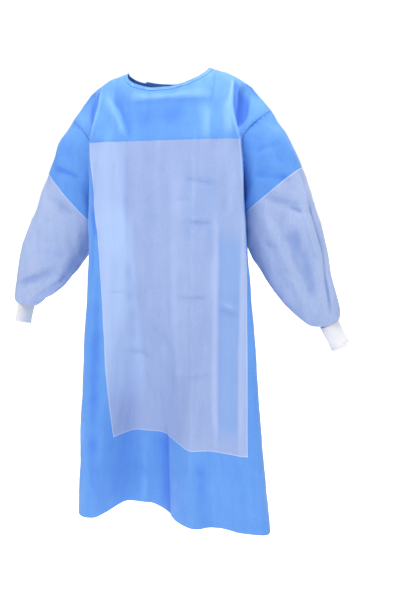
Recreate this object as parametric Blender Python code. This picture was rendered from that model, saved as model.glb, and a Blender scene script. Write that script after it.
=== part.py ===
"""Surgical gown, worn form, hollow: body, reinforced panel, sleeves, cuffs, neck binding, neck tab.

Metres, +Z up, front faces -Y. Left and right are the wearer's, so the left sleeve is at +X.
The origin lies midway between the neck points, on the shoulder line.
"""
import math
from collections import namedtuple

import bmesh
import bpy
import numpy as np

MM = 0.001

# Driving sizes
CLOTH = 1.5 * MM
PANEL_CLOTH = 1.2 * MM
KNIT = 2.4 * MM
BAND_CLOTH = 2.2 * MM
SEAM_GAP = 0.3 * MM
HEM_Z = -1.165
PANEL_BOTTOM_Z = -0.945
UNDERARM_Z = -0.325
CHEST_Z = -0.180
NECK_HALF = 0.106
NECK_LAP_RISE = 0.011
BAND_WIDTH = 10 * MM

# Neck edge at the middle of each half; the powers shape its way there from the neck points
NeckHalf = namedtuple("NeckHalf", "middle_y drop depth_power drop_power")
NECK_FRONT = NeckHalf(-0.086, 0.0615, 1.1, 1.25)
NECK_BACK = NeckHalf(0.078, 0.031, 1.1, 0.7)

# Body sections: two front corners, the side seams, the front middle and the back at each height
Section = namedtuple("Section", "z left_x left_y right_x right_y front_y "
                     "seam_left_x seam_right_x seam_y back_y back_half")
SECTIONS = (
    Section(-1.165, 0.300, -0.118, -0.214, -0.150, -0.132, 0.270, -0.267, 0.050, 0.215, 0.190),
    Section(-0.945, 0.280, -0.140, -0.206, -0.146, -0.146, 0.246, -0.248, 0.045, 0.190, 0.180),
    Section(-0.680, 0.256, -0.134, -0.197, -0.136, -0.140, 0.225, -0.232, 0.035, 0.162, 0.170),
    Section(-0.450, 0.232, -0.122, -0.186, -0.120, -0.130, 0.204, -0.214, 0.025, 0.142, 0.160),
    Section(-0.325, 0.219, -0.114, -0.184, -0.113, -0.122, 0.198, -0.208, 0.018, 0.132, 0.152),
    Section(-0.180, 0.208, -0.105, -0.182, -0.104, -0.112, 0.197, -0.205, 0.012, 0.120, 0.140),
)
CORNER_REACH = 0.032
SEAM_REACH = 0.050
MIDDLE_REACH = 0.110
BACK_REACH = 0.090
BACK_CROWN = 0.012
CORNER_STEPS = 12

# Where the panel's side edges lie on the front, as distances from its middle along the section
PanelEdge = namedtuple("PanelEdge", "z left right")
PANEL_EDGES = (
    PanelEdge(-0.945, 0.242, 0.128),
    PanelEdge(-0.750, 0.238, 0.132),
    PanelEdge(-0.570, 0.232, 0.139),
    PanelEdge(-0.350, 0.222, 0.160),
    PanelEdge(-0.180, 0.208, 0.178),
)

# Soft folds that run down the body: a floor between two flanks, its middle placed along the section
# from the middle, nothing at z_start and full at z_full. On the front + is to the wearer's left and
# the depth inward, on the back + is to the wearer's right and the depth outward
Fold = namedtuple("Fold", "place_low place_high flank_right floor flank_left z_start z_full depth")
FRONT_FOLDS = (
    Fold(-0.078, -0.004, 0.072, 0.055, 0.138, -0.42, -0.93, 0.100),
    Fold(0.160, 0.145, 0.060, 0.010, 0.060, -0.60, -1.08, 0.012),
    Fold(-0.215, -0.195, 0.050, 0.010, 0.060, -0.55, -1.10, -0.010),
    Fold(0.104, 0.080, 0.030, 0.006, 0.040, -0.75, -1.10, -0.008),
)
BACK_FOLDS = (
    Fold(0.265, 0.215, 0.060, 0.010, 0.065, -0.38, -1.05, 0.030),
    Fold(0.155, 0.125, 0.055, 0.012, 0.050, -0.50, -1.00, -0.016),
    Fold(0.040, 0.030, 0.060, 0.010, 0.065, -0.62, -1.10, 0.012),
    Fold(-0.060, -0.040, 0.050, 0.008, 0.060, -0.56, -1.05, -0.012),
    Fold(-0.190, -0.160, 0.065, 0.012, 0.055, -0.42, -1.00, 0.030),
    Fold(-0.285, -0.240, 0.030, 0.010, 0.065, -0.55, -1.10, 0.018),
)

# Shoulder seam from the armhole's top to the neck band, on one side
ShoulderPoint = namedtuple("ShoulderPoint", "x z")
SHOULDER = (
    ShoulderPoint(0.262, -0.106),
    ShoulderPoint(0.238, -0.076),
    ShoulderPoint(0.214, -0.048),
    ShoulderPoint(0.184, -0.028),
    ShoulderPoint(0.150, -0.012),
    ShoulderPoint(NECK_HALF + BAND_WIDTH, -0.0015),
)
ARMHOLE_FRONT = 0.072
ARMHOLE_BACK = 0.072
ARMHOLE_ROUNDING = 2.4
YOKE_LIFT = 0.075
YOKE_SWEEP = 0.120

# How the columns reach the top edge: lean over the shoulder, and lean and pull-in at the neck's middle
TOP_LEAN = 0.12
NECK_LEAN = 0.70
NECK_PULL = 0.45
TOP_TURN = 0.25 * math.pi

# The hollow beside each crease, below the shoulder: deepest at its place between crease and armhole
RECESS_DEPTH = 0.024
RECESS_PLACE = 0.25
RECESS_TOP = 1.05
RECESS_POWER = 0.6
RECESS_WAY = (0.45, 0.85, -0.25)

# Share of each half of the top edge that the creases and the neck points take, from the armhole
CREASE_SHARE = 0.325
NECK_SHARE = 0.56
NECK_SPREAD = 1.12
SIDE_POWER = 0.9

# Columns of each half of the body, from the armhole or side seam inwards
SIDE_COLUMNS = 6
SHOULDER_COLUMNS = 3
NECK_COLUMNS = 5
LOW_ROWS = 3
PANEL_ROWS = 12
CHEST_ROWS = 3
YOKE_ROWS = 6

# The wearer's left back hangs inside, the right back wraps over it: how far past the middle each goes
WrapEdge = namedtuple("WrapEdge", "z reach")
WRAP_EDGES = (
    WrapEdge(-1.165, 0.120),
    WrapEdge(-0.680, 0.100),
    WrapEdge(-0.180, 0.080),
)
WRAP_SHARE = 0.78
WRAP_LIFT = 3.6 * MM
BACK_CREASE = 0.70
WRAP_COLUMNS = 3

# Sleeve rings: outer and inner edge in the plane y = depth_y, half depths to front and back
Ring = namedtuple("Ring", "outer_x outer_z inner_x inner_z y front back")
LEFT_RINGS = (
    Ring(0.300, -0.165, 0.2035, -0.336, 0.010, 0.066, 0.066),
    Ring(0.340, -0.243, 0.2045, -0.354, 0.008, 0.060, 0.060),
    Ring(0.356, -0.283, 0.2060, -0.392, 0.008, 0.056, 0.056),
    Ring(0.372, -0.325, 0.2090, -0.430, 0.008, 0.053, 0.053),
    Ring(0.387, -0.372, 0.2220, -0.463, 0.006, 0.051, 0.051),
    Ring(0.400, -0.418, 0.2420, -0.490, 0.004, 0.050, 0.050),
    Ring(0.410, -0.462, 0.2610, -0.520, 0.002, 0.049, 0.049),
    Ring(0.421, -0.507, 0.2840, -0.549, 0.000, 0.048, 0.048),
    Ring(0.434, -0.548, 0.3100, -0.579, -0.002, 0.046, 0.046),
    Ring(0.443, -0.580, 0.3390, -0.608, -0.003, 0.042, 0.042),
    Ring(0.4455, -0.600, 0.3700, -0.633, -0.004, 0.037, 0.037),
)
RIGHT_RINGS = (
    Ring(0.300, -0.160, 0.2145, -0.345, 0.012, 0.066, 0.066),
    Ring(0.342, -0.252, 0.2180, -0.388, 0.012, 0.060, 0.060),
    Ring(0.358, -0.285, 0.2245, -0.414, 0.012, 0.056, 0.056),
    Ring(0.376, -0.325, 0.2350, -0.443, 0.010, 0.053, 0.053),
    Ring(0.397, -0.372, 0.2500, -0.470, 0.006, 0.051, 0.051),
    Ring(0.413, -0.412, 0.2670, -0.493, 0.002, 0.050, 0.050),
    Ring(0.427, -0.452, 0.2850, -0.520, -0.004, 0.049, 0.049),
    Ring(0.438, -0.497, 0.3060, -0.548, -0.008, 0.048, 0.048),
    Ring(0.445, -0.538, 0.3300, -0.576, -0.012, 0.046, 0.046),
    Ring(0.4500, -0.566, 0.3600, -0.594, -0.013, 0.042, 0.042),
    Ring(0.4530, -0.590, 0.3900, -0.608, -0.013, 0.0400, 0.0400),
)
SEAM_RING = 1
SLEEVE_ROUNDING = 2.8
SLEEVE_COLUMNS = 24
OVAL_STEPS = 720
GATHERS = 12
GATHER_DEPTHS = (0.0, 0.0, 0.0, 0.0, 0.0, 0.0, 0.0, 0.0, 0.0008, 0.0020, 0.0028)

# Cuffs: middle of the top and of the bottom, half sizes across
Cuff = namedtuple("Cuff", "top bottom half_width half_depth")
LEFT_CUFF = Cuff((0.4205, -0.004, -0.6275), (0.4510, -0.004, -0.6840), 0.0245, 0.0285)
RIGHT_CUFF = Cuff((-0.4320, -0.013, -0.6150), (-0.4380, -0.026, -0.6650), 0.0180, 0.0325)
CUFF_RIBS = 24
CUFF_ROWS = 3
RIB_HEIGHT = 0.7 * MM

# The tab: rows of the back that it covers, how far it goes on past the back's edge, and its columns there
TAB_HEIGHT_ROWS = 2
TAB_OVER = 0.040
TAB_CLOTH = 1.6 * MM
TAB_SHARES = (0.35, 0.70, 1.00)

SHARP_ANGLE = math.radians(50.0)
BODY_BLUE = (0.150, 0.360, 0.860, 1.0)
PANEL_BLUE = (0.370, 0.450, 0.800, 1.0)
CUFF_WHITE = (0.720, 0.740, 0.820, 1.0)
TAB_BLUE = (0.080, 0.200, 0.560, 1.0)


def clear_scene():
    for thing in list(bpy.data.objects):
        bpy.data.objects.remove(thing, do_unlink=True)


def cloth_material(name, colour, roughness):
    material = bpy.data.materials.new(name)
    material.use_nodes = True
    shader = material.node_tree.nodes["Principled BSDF"]
    shader.inputs["Base Color"].default_value = colour
    shader.inputs["Roughness"].default_value = roughness
    shader.inputs["Metallic"].default_value = 0.0
    material.diffuse_color = colour
    return material


def smooth_step(value):
    value = min(max(value, 0.0), 1.0)
    return value * value * (3.0 - 2.0 * value)


def hermite(start, start_slope, end, end_slope, share):
    """Cubic from start to end; the slopes are per whole span."""
    square = share * share
    cube = square * share
    return (start * (2.0 * cube - 3.0 * square + 1.0) + start_slope * (cube - 2.0 * square + share)
            + end * (3.0 * square - 2.0 * cube) + end_slope * (cube - square))


def read_table(rows, z):
    """The table's row at height z, through a smooth curve in each column."""
    heights = [row.z for row in rows]
    index = int(np.clip(np.searchsorted(heights, z) - 1, 0, len(rows) - 2))
    table = np.array(rows)
    slopes = np.gradient(table, np.array(heights), axis=0)
    span = heights[index + 1] - heights[index]
    share = min(max((z - heights[index]) / span, 0.0), 1.0)
    values = hermite(table[index], slopes[index] * span, table[index + 1], slopes[index + 1] * span, share)
    return type(rows[0])(*values)


def resample(points, distances):
    """Points at the given distances along a polyline."""
    steps = np.linalg.norm(np.diff(points, axis=0), axis=1)
    along = np.concatenate(([0.0], np.cumsum(steps)))
    columns = [np.interp(distances, along, points[:, axis]) for axis in range(points.shape[1])]
    return np.stack(columns, axis=1)


def length_along(points):
    return float(np.sum(np.linalg.norm(np.diff(points, axis=0), axis=1)))


def rounded_path(corners, reaches):
    """A polyline through straight runs, each inner corner rounded over its reach."""
    corners = np.array(corners, dtype=float)
    path = [corners[0]]
    for index in range(1, len(corners) - 1):
        before = corners[index - 1] - corners[index]
        after = corners[index + 1] - corners[index]
        reach_before = min(reaches[index], 0.49 * np.linalg.norm(before))
        reach_after = min(reaches[index], 0.49 * np.linalg.norm(after))
        start = corners[index] + before / np.linalg.norm(before) * reach_before
        end = corners[index] + after / np.linalg.norm(after) * reach_after
        for step in range(CORNER_STEPS + 1):
            share = step / CORNER_STEPS
            bend = 2 * share * (1 - share) * corners[index]
            path.append((1 - share) ** 2 * start + bend + share ** 2 * end)
    path.append(corners[-1])
    return np.array(path)


def body_section(z):
    """The body's closed outline at height z, from the back middle round by the wearer's right."""
    row = read_table(SECTIONS, z)
    corners = [
        (0.0, row.back_y + BACK_CROWN), (-row.back_half, row.back_y), (row.seam_right_x, row.seam_y),
        (row.right_x, row.right_y), (0.0, row.front_y), (row.left_x, row.left_y),
        (row.seam_left_x, row.seam_y), (row.back_half, row.back_y),
    ]
    reaches = [MIDDLE_REACH, BACK_REACH, SEAM_REACH, CORNER_REACH,
               MIDDLE_REACH, CORNER_REACH, SEAM_REACH, BACK_REACH]
    path = rounded_path(corners[-1:] + corners + corners[:2], [0.0] + reaches + [MIDDLE_REACH, 0.0])
    steps = CORNER_STEPS + 1
    first = 1 + CORNER_STEPS // 2
    return row, path[first:first + 8 * steps + 1]


def armhole_y(z, depth):
    """How far the armhole's edge lies in front of the side seam, or behind it."""
    if z <= UNDERARM_Z:
        return 0.0
    share = min((z - UNDERARM_Z) / (CHEST_Z - UNDERARM_Z), 1.0)
    return depth * (1.0 - (1.0 - share) ** ARMHOLE_ROUNDING)


def side_of_line(loop, limit, facing):
    """The open part of a closed outline before (facing -1) or behind the line y = limit.

    The front runs from the wearer's right to the left, the back from the left to the right.
    """
    if facing > 0:
        loop = np.vstack([loop[len(loop) // 2:-1], loop[:len(loop) // 2 + 1]])
    inside = facing * (loop[:, 1] - limit) > 0.0
    first = int(np.argmax(inside))
    last = len(loop) - 1 - int(np.argmax(inside[::-1]))
    ends = []
    for outer, inner in ((first - 1, first), (last + 1, last)):
        share = (limit - loop[inner, 1]) / (loop[outer, 1] - loop[inner, 1])
        ends.append(loop[inner] + share * (loop[outer] - loop[inner]))
    return np.vstack([ends[:1], loop[first:last + 1], ends[1:]])


def fold_depth(folds, place, z):
    depth = 0.0
    for fold in folds:
        growth = smooth_step((fold.z_start - z) / (fold.z_start - fold.z_full))
        shift = (z - HEM_Z) / (fold.z_start - HEM_Z)
        middle = fold.place_low + (fold.place_high - fold.place_low) * min(max(shift, 0.0), 1.0)
        offset = place - middle
        flank = fold.flank_left if offset > 0.0 else fold.flank_right
        depth += fold.depth * growth * smooth_step(1.0 - (abs(offset) - fold.floor / 2) / flank)
    return depth


def folded(path, folds, distances, middle, z):
    """Resampled section points with the folds pushed in along the section's normal."""
    points = resample(path, distances)
    ahead = resample(path, distances + MM)
    behind = resample(path, distances - MM)
    along = ahead - behind
    along /= np.linalg.norm(along, axis=1)[:, None]
    inward = np.stack([-along[:, 1], along[:, 0]], axis=1)
    if points[len(points) // 2, 1] > 0.0:
        inward = -inward
    depths = np.array([fold_depth(folds, distance - middle, z) for distance in distances])
    return points + inward * depths[:, None]


def side_shares():
    """From the side seam or armhole (0) to the crease (1)."""
    return np.linspace(0.0, 1.0, SIDE_COLUMNS + 1) ** SIDE_POWER


def column_places(total, middle, crease_right, crease_left):
    """Distances along a front row: seam, crease, neck column, middle, and the same back out."""
    side = side_shares()
    right = side * (middle - crease_right)
    left = total - side * (total - middle - crease_left)
    inner_right = middle - crease_right * (1.0 - inner_shares())
    inner_left = middle + crease_left * (1.0 - inner_shares())
    return np.concatenate([right, inner_right[1:], inner_left[::-1][1:], left[::-1][1:]])


def back_places(total, middle, wrap):
    """Distances along a back row: seam, crease, neck column, wrap edge, middle, and back out."""
    side = side_shares()
    right = side * middle * (1.0 - BACK_CREASE)
    left = total - side * (total - middle) * (1.0 - BACK_CREASE)
    rows = []
    for half, way in ((middle, -1.0), (total - middle, 1.0)):
        crease = BACK_CREASE * half
        neck = (crease + wrap) / 2
        outer = np.linspace(crease, neck, SHOULDER_COLUMNS + 1)[1:]
        between = np.linspace(neck, wrap, NECK_COLUMNS - WRAP_COLUMNS + 1)[1:]
        lapped = np.linspace(wrap, 0.0, WRAP_COLUMNS + 1)[1:]
        rows.append(middle + way * np.concatenate([outer, between, lapped]))
    return np.concatenate([right, rows[0], rows[1][::-1][1:], left[::-1]])


def inner_shares():
    """From the crease (0) through the neck column to the middle (1)."""
    neck = (NECK_SHARE - CREASE_SHARE) / (1.0 - CREASE_SHARE) * NECK_SPREAD
    outer = np.linspace(0.0, neck, SHOULDER_COLUMNS + 1)
    return np.concatenate([outer, np.linspace(neck, 1.0, NECK_COLUMNS + 1)[1:]])


def top_shares(facing):
    """Shares of the half top edge at the columns, from the armhole to the middle."""
    side = side_shares() * CREASE_SHARE
    shoulder = np.linspace(CREASE_SHARE, NECK_SHARE, SHOULDER_COLUMNS + 1)[1:]
    neck = np.linspace(NECK_SHARE, 1.0, NECK_COLUMNS + 1)[1:]
    if facing > 0:
        between = np.linspace(NECK_SHARE, WRAP_SHARE, NECK_COLUMNS - WRAP_COLUMNS + 1)[1:]
        neck = np.concatenate([between, np.linspace(WRAP_SHARE, 1.0, WRAP_COLUMNS + 1)[1:]])
    return np.concatenate([side, shoulder, neck])


def neck_edge(angle, facing):
    """A point of the body's neck edge; angle 0 is the neck point, a quarter turn the middle."""
    neck = NECK_FRONT if facing < 0 else NECK_BACK
    last = SHOULDER[-1]
    across = last.x * math.cos(angle)
    depth = neck.middle_y * math.sin(angle) ** neck.depth_power
    height = last.z - (neck.drop + last.z) * math.sin(angle) ** neck.drop_power
    return np.array([across, depth, height])


def top_edge(side, share, facing):
    """Point of the top edge and the way a column reaches it, at a share of the half edge."""
    if share <= NECK_SHARE:
        line = np.array([(point.x, 0.0, point.z) for point in SHOULDER])
        point = resample(line, np.array([share / NECK_SHARE * length_along(line)]))[0]
        point[1] = facing * SEAM_GAP / 2
        turn = smooth_step(2.0 * share / NECK_SHARE - 1.0) * TOP_TURN
        reach = np.array([-math.sin(turn), -facing * math.cos(turn), TOP_LEAN])
    else:
        angle = (share - NECK_SHARE) / (1.0 - NECK_SHARE) * 0.5 * math.pi
        point = neck_edge(angle, facing)
        point[1] += facing * SEAM_GAP / 2
        blend = math.sin(angle)
        turn = TOP_TURN * (1.0 + math.sqrt(blend))
        inward = math.cos(turn) * (1.0 - blend) + NECK_PULL * blend
        lean = TOP_LEAN + NECK_LEAN * blend ** 2
        reach = np.array([-math.sin(turn) * (1.0 - blend), -facing * inward, lean])
    reach /= np.linalg.norm(reach)
    return point * np.array([side, 1.0, 1.0]), reach * np.array([side, 1.0, 1.0])


def recess(share_from_crease, rise):
    """The hollow beside each crease, between the chest and the shoulder cap."""
    if share_from_crease <= 0.0 or share_from_crease >= 1.0:
        return 0.0
    if share_from_crease < RECESS_PLACE:
        across = share_from_crease / RECESS_PLACE
    else:
        across = (1.0 - share_from_crease) / (1.0 - RECESS_PLACE)
    height = math.sin(math.pi * min(rise * RECESS_TOP, 1.0)) ** RECESS_POWER
    return RECESS_DEPTH * smooth_step(across) * height


def yoke_row(low, lower, facing, rise):
    """A row above the chest, from the chest row (low) up to the top edge; rise runs 0 to 1."""
    shares = top_shares(facing)
    both = np.concatenate([shares, shares[::-1][1:]])
    half = len(shares) - 1
    row = []
    for index, share in enumerate(both):
        side = -1.0 if index < half or (index == half) else 1.0
        if facing > 0:
            side = -side
        end, reach = top_edge(side, share, facing)
        start = low[index]
        slope = (low[index] - lower[index]) / MM
        point = hermite(start, slope / max(abs(slope[2]), 1e-6) * YOKE_LIFT, end, reach * YOKE_SWEEP, rise)
        if share < CREASE_SHARE and facing < 0:
            depth = recess(1.0 - share / CREASE_SHARE, rise)
            point = point + np.array(RECESS_WAY) * np.array([-side, -facing, 1.0]) * depth
        row.append(point)
    return np.array(row)


def section_row(z, facing):
    """One row of the front or back at height z, as columns of points."""
    row, loop = body_section(z)
    armhole = armhole_y(z, ARMHOLE_FRONT if facing < 0 else ARMHOLE_BACK)
    path = side_of_line(loop, row.seam_y + facing * (SEAM_GAP / 2 + armhole), facing)
    steps = np.linalg.norm(np.diff(path, axis=0), axis=1)
    along = np.concatenate(([0.0], np.cumsum(steps)))
    crossing = int(np.argmax(facing * path[:, 0] < 0.0))
    share = path[crossing - 1, 0] / (path[crossing - 1, 0] - path[crossing, 0])
    middle = along[crossing - 1] + share * steps[crossing - 1]
    if facing < 0:
        edges = read_table(PANEL_EDGES, z)
        places = column_places(along[-1], middle, edges.right, edges.left)
    else:
        places = back_places(along[-1], middle, read_table(WRAP_EDGES, z).reach)
    flat = folded(path, FRONT_FOLDS if facing < 0 else BACK_FOLDS, places, middle, z)
    return np.column_stack([flat, np.full(len(flat), z)])


def row_heights():
    low = np.linspace(HEM_Z, PANEL_BOTTOM_Z, LOW_ROWS + 1)
    panel = np.linspace(PANEL_BOTTOM_Z, UNDERARM_Z, PANEL_ROWS + 1)[1:]
    chest = np.linspace(UNDERARM_Z, CHEST_Z, CHEST_ROWS + 1)[1:]
    return np.concatenate([low, panel, chest])


def body_half(facing):
    """All rows of the front (facing -1) or the back (facing +1), hem first."""
    rows = [section_row(z, facing) for z in row_heights()]
    below = section_row(CHEST_Z - MM, facing)
    chest = rows[-1]
    for step in range(1, YOKE_ROWS + 1):
        rows.append(yoke_row(chest, below, facing, step / YOKE_ROWS))
    return np.array(rows)


def grid_normals(grid, closed, flip):
    """Outward normals of a grid of points, hem row first."""
    if closed:
        across = np.roll(grid, -1, axis=1) - np.roll(grid, 1, axis=1)
    else:
        across = np.gradient(grid, axis=1)
    up = np.gradient(grid, axis=0)
    normals = np.cross(across, up)
    normals /= np.linalg.norm(normals, axis=2)[:, :, None]
    return -normals if flip else normals


def level_in_plane(normals, index, plane_normal):
    """Turns the normals of an edge into the seam's own plane, so that two walls meet square."""
    plane = np.array(plane_normal, dtype=float)
    plane /= np.linalg.norm(plane)
    flat = normals[index] - np.outer(normals[index] @ plane, plane).reshape(normals[index].shape)
    normals[index] = flat / np.linalg.norm(flat, axis=-1)[..., None]


def wall(name, grid, normals, thickness, lift, material, closed=False, raised=None):
    """A closed wall from a grid of outer points; its inner points lie a thickness behind them."""
    outer = grid + normals * lift
    inner = grid + normals * (lift - thickness)
    if raised is not None:
        outer = outer + normals * raised[:, :, None]
    rows, columns = grid.shape[:2]
    mesh = bmesh.new()
    front = [[mesh.verts.new(point) for point in row] for row in outer]
    back = [[mesh.verts.new(point) for point in row] for row in inner]
    spans = columns if closed else columns - 1

    def two_triangles(first, second, third, fourth):
        mesh.faces.new((first, second, third))
        mesh.faces.new((first, third, fourth))

    for row in range(rows - 1):
        for column in range(spans):
            after = (column + 1) % columns
            low = (front[row][column], front[row][after])
            two_triangles(*low, front[row + 1][after], front[row + 1][column])
            side = (back[row][column], back[row + 1][column])
            two_triangles(*side, back[row + 1][after], back[row][after])
    for row, up in ((0, False), (rows - 1, True)):
        for column in range(spans):
            after = (column + 1) % columns
            ring = (front[row][column], back[row][column], back[row][after], front[row][after])
            two_triangles(*(ring[::-1] if up else ring))
    if not closed:
        for column, last in ((0, False), (columns - 1, True)):
            for row in range(rows - 1):
                upper = (front[row + 1][column], back[row + 1][column])
                strip = (front[row][column],) + upper + (back[row][column],)
                two_triangles(*(strip[::-1] if last else strip))
    bmesh.ops.recalc_face_normals(mesh, faces=mesh.faces)
    data = bpy.data.meshes.new(name)
    mesh.to_mesh(data)
    mesh.free()
    data.materials.append(material)
    data.shade_smooth()
    data.set_sharp_from_angle(angle=SHARP_ANGLE)
    thing = bpy.data.objects.new(name, data)
    bpy.context.scene.collection.objects.link(thing)
    return thing


def body_normals(grid, seam_rows):
    """Normals of a body grid, squared at the side seams, the shoulder seams and the hem."""
    normals = grid_normals(grid, False, False)
    level_in_plane(normals, 0, (0.0, 0.0, 1.0))
    for column in (0, grid.shape[1] - 1):
        level_in_plane(normals, (slice(0, seam_rows), column), (0.0, 1.0, 0.0))
    return normals


def build_front(materials):
    grid = body_half(-1)
    seam_rows = LOW_ROWS + PANEL_ROWS + 1
    normals = body_normals(grid, seam_rows)
    shoulder = SIDE_COLUMNS + SHOULDER_COLUMNS
    for columns in (slice(0, shoulder + 1), slice(grid.shape[1] - shoulder - 1, grid.shape[1])):
        level_in_plane(normals, (-1, columns), (0.0, 1.0, 0.0))
    wall("front", grid, normals, CLOTH, 0.0, materials["body"])
    return grid, normals


def build_panel(grid, normals, materials):
    first = LOW_ROWS
    last = LOW_ROWS + PANEL_ROWS + CHEST_ROWS
    columns = slice(SIDE_COLUMNS, grid.shape[1] - SIDE_COLUMNS)
    part = grid[first:last + 1, columns]
    wall("front_panel", part, normals[first:last + 1, columns], PANEL_CLOTH, SEAM_GAP + PANEL_CLOTH,
         materials["panel"])


def build_backs(materials):
    """Both backs are cut from one surface; where they lap, the outer one is moved out."""
    whole = body_half(1)
    seam_rows = LOW_ROWS + PANEL_ROWS + 1
    columns = whole.shape[1]
    middle = (columns - 1) // 2
    shoulder = SIDE_COLUMNS + SHOULDER_COLUMNS
    normals = body_normals(whole, seam_rows)
    for part in (slice(0, shoulder + 1), slice(columns - shoulder - 1, columns)):
        level_in_plane(normals, (-1, part), (0.0, 1.0, 0.0))
    lifts = np.zeros(columns)
    lifts[middle - WRAP_COLUMNS:middle + WRAP_COLUMNS + 1] = WRAP_LIFT
    lifts[middle + WRAP_COLUMNS + 1:middle + NECK_COLUMNS] = WRAP_LIFT / 2
    pieces = {}
    for name, cut, lift in (("back_left", slice(0, middle + WRAP_COLUMNS + 1), 0.0),
                            ("back_right", slice(middle - WRAP_COLUMNS, columns), 1.0)):
        grid = whole[:, cut] + normals[:, cut] * (lifts[cut] * lift)[None, :, None]
        if name == "back_left":
            raise_lap(grid, shoulder)
        wall(name, grid, normals[:, cut], CLOTH, 0.0, materials["body"])
        pieces[name] = (grid, normals[:, cut])
    return pieces


def raise_lap(grid, shoulder):
    """The inner back's neck edge stands a little higher than the outer back's."""
    for column in range(shoulder + 1, grid.shape[1]):
        way = grid[-1, column] - grid[-2, column]
        share = (column - shoulder) / NECK_COLUMNS
        grid[-1, column] += way / np.linalg.norm(way) * NECK_LAP_RISE * smooth_step(share)


def armhole_ring(front, back, side):
    """The armhole's loop, top, front, underarm, back, at the sleeve's columns."""
    first = LOW_ROWS + PANEL_ROWS
    front_edge = front[first:, 0 if side < 0 else -1][::-1]
    back_edge = back[first:, -1 if side < 0 else 0]
    half = SLEEVE_COLUMNS // 2
    down = resample(front_edge, np.linspace(0.0, length_along(front_edge), half + 1))
    up = resample(back_edge, np.linspace(0.0, length_along(back_edge), half + 1))
    down[0] = (down[0] + up[-1]) / 2
    down[-1] = (down[-1] + up[0]) / 2
    return np.vstack([down, up[1:-1]])


def sleeve_ring(ring, side, columns, gather=0.0):
    """One ring of a sleeve as a rounded flat oval, with its gathers."""
    outer = np.array([side * ring.outer_x, ring.y, ring.outer_z])
    inner = np.array([side * ring.inner_x, ring.y, ring.inner_z])
    middle = (outer + inner) / 2
    reach = (outer - inner) / 2
    dense = []
    for step in range(OVAL_STEPS + 1):
        angle = 2 * math.pi * step / OVAL_STEPS
        cosine = math.cos(angle)
        sine = math.sin(angle)
        wide = math.copysign(abs(cosine) ** (2 / SLEEVE_ROUNDING), cosine)
        deep = math.copysign(abs(sine) ** (2 / SLEEVE_ROUNDING), sine)
        depth = ring.front if sine > 0 else ring.back
        dense.append(middle + reach * wide + np.array([0.0, -depth * deep, 0.0]))
    dense = np.array(dense)
    front_half = dense[:OVAL_STEPS // 2 + 1]
    back_half = dense[OVAL_STEPS // 2:]
    half = columns // 2
    down = resample(front_half, np.linspace(0.0, length_along(front_half), half + 1))
    up = resample(back_half, np.linspace(0.0, length_along(back_half), half + 1))
    loop = np.vstack([down, up[1:-1]])
    spread = loop - middle
    spread /= np.linalg.norm(spread, axis=1)[:, None]
    wave = np.cos(np.arange(columns) * 2 * math.pi * GATHERS / columns)
    return loop + spread * (wave * gather)[:, None]


def cuff_frame(cuff, side):
    """The cuff's middle at its top, its way down, its directions to the outer edge and the front."""
    top = np.array(cuff.top)
    way = np.array(cuff.bottom) - top
    length = float(np.linalg.norm(way))
    way /= length
    across = np.cross(way, [0.0, 1.0, 0.0])
    across /= np.linalg.norm(across)
    return top, way, side * across, np.cross(way, across), length


def cuff_loop(cuff, side, distance, columns):
    """An oval loop of the cuff at a distance down from its top, starting at the outer edge."""
    top, way, outer, front, _ = cuff_frame(cuff, side)
    loop = []
    for column in range(columns):
        angle = 2 * math.pi * column / columns
        loop.append(top + way * distance + outer * cuff.half_width * math.cos(angle)
                    + front * cuff.half_depth * math.sin(angle))
    return np.array(loop)


def shift_ring(loop, towards, distance):
    """Moves each point of a ring a little way towards the next ring."""
    way = towards - loop
    return loop + way / np.linalg.norm(way, axis=1)[:, None] * distance


def build_sleeve(side, label, rings, cuff, front, back, materials):
    columns = SLEEVE_COLUMNS
    loops = [armhole_ring(front, back, side)]
    for index, ring in enumerate(rings):
        loops.append(sleeve_ring(ring, side, columns, GATHER_DEPTHS[index]))
    loops.append(cuff_loop(cuff, side, -SEAM_GAP, columns))
    seam = SEAM_RING + 1
    upper = [shift_ring(loops[0], loops[1], 2 * SEAM_GAP)]
    upper.append((loops[0] + loops[1]) / 2)
    upper += loops[1:seam]
    upper.append(shift_ring(loops[seam], loops[seam - 1], SEAM_GAP / 2))
    lower = [shift_ring(loops[seam], loops[seam + 1], SEAM_GAP / 2)] + loops[seam + 1:]
    for name, stack, material in (("upper_sleeve_", upper, "body"), ("lower_sleeve_", lower, "panel")):
        grid = np.array(stack)
        normals = grid_normals(grid, True, side < 0)
        seam_row = -1 if name.startswith("upper") else 0
        ring = rings[SEAM_RING]
        slope = [side * (ring.outer_x - ring.inner_x), 0.0, ring.outer_z - ring.inner_z]
        level_in_plane(normals, seam_row, np.cross(slope, [0.0, 1.0, 0.0]))
        if seam_row == 0:
            level_in_plane(normals, -1, cuff_frame(cuff, side)[1])
        wall(name + label, grid, normals, CLOTH, 0.0, materials[material], closed=True)


def build_cuff(label, cuff, side, materials):
    columns = CUFF_RIBS * 2
    length = cuff_frame(cuff, side)[4]
    distances = np.linspace(0.0, length, CUFF_ROWS + 1)
    grid = np.array([cuff_loop(cuff, side, distance, columns) for distance in distances])
    normals = grid_normals(grid, True, side < 0)
    raised = np.zeros(grid.shape[:2])
    raised[:, ::2] = RIB_HEIGHT
    wall("cuff_" + label, grid, normals, KNIT, 0.0, materials["cuff"], closed=True, raised=raised)


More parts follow.
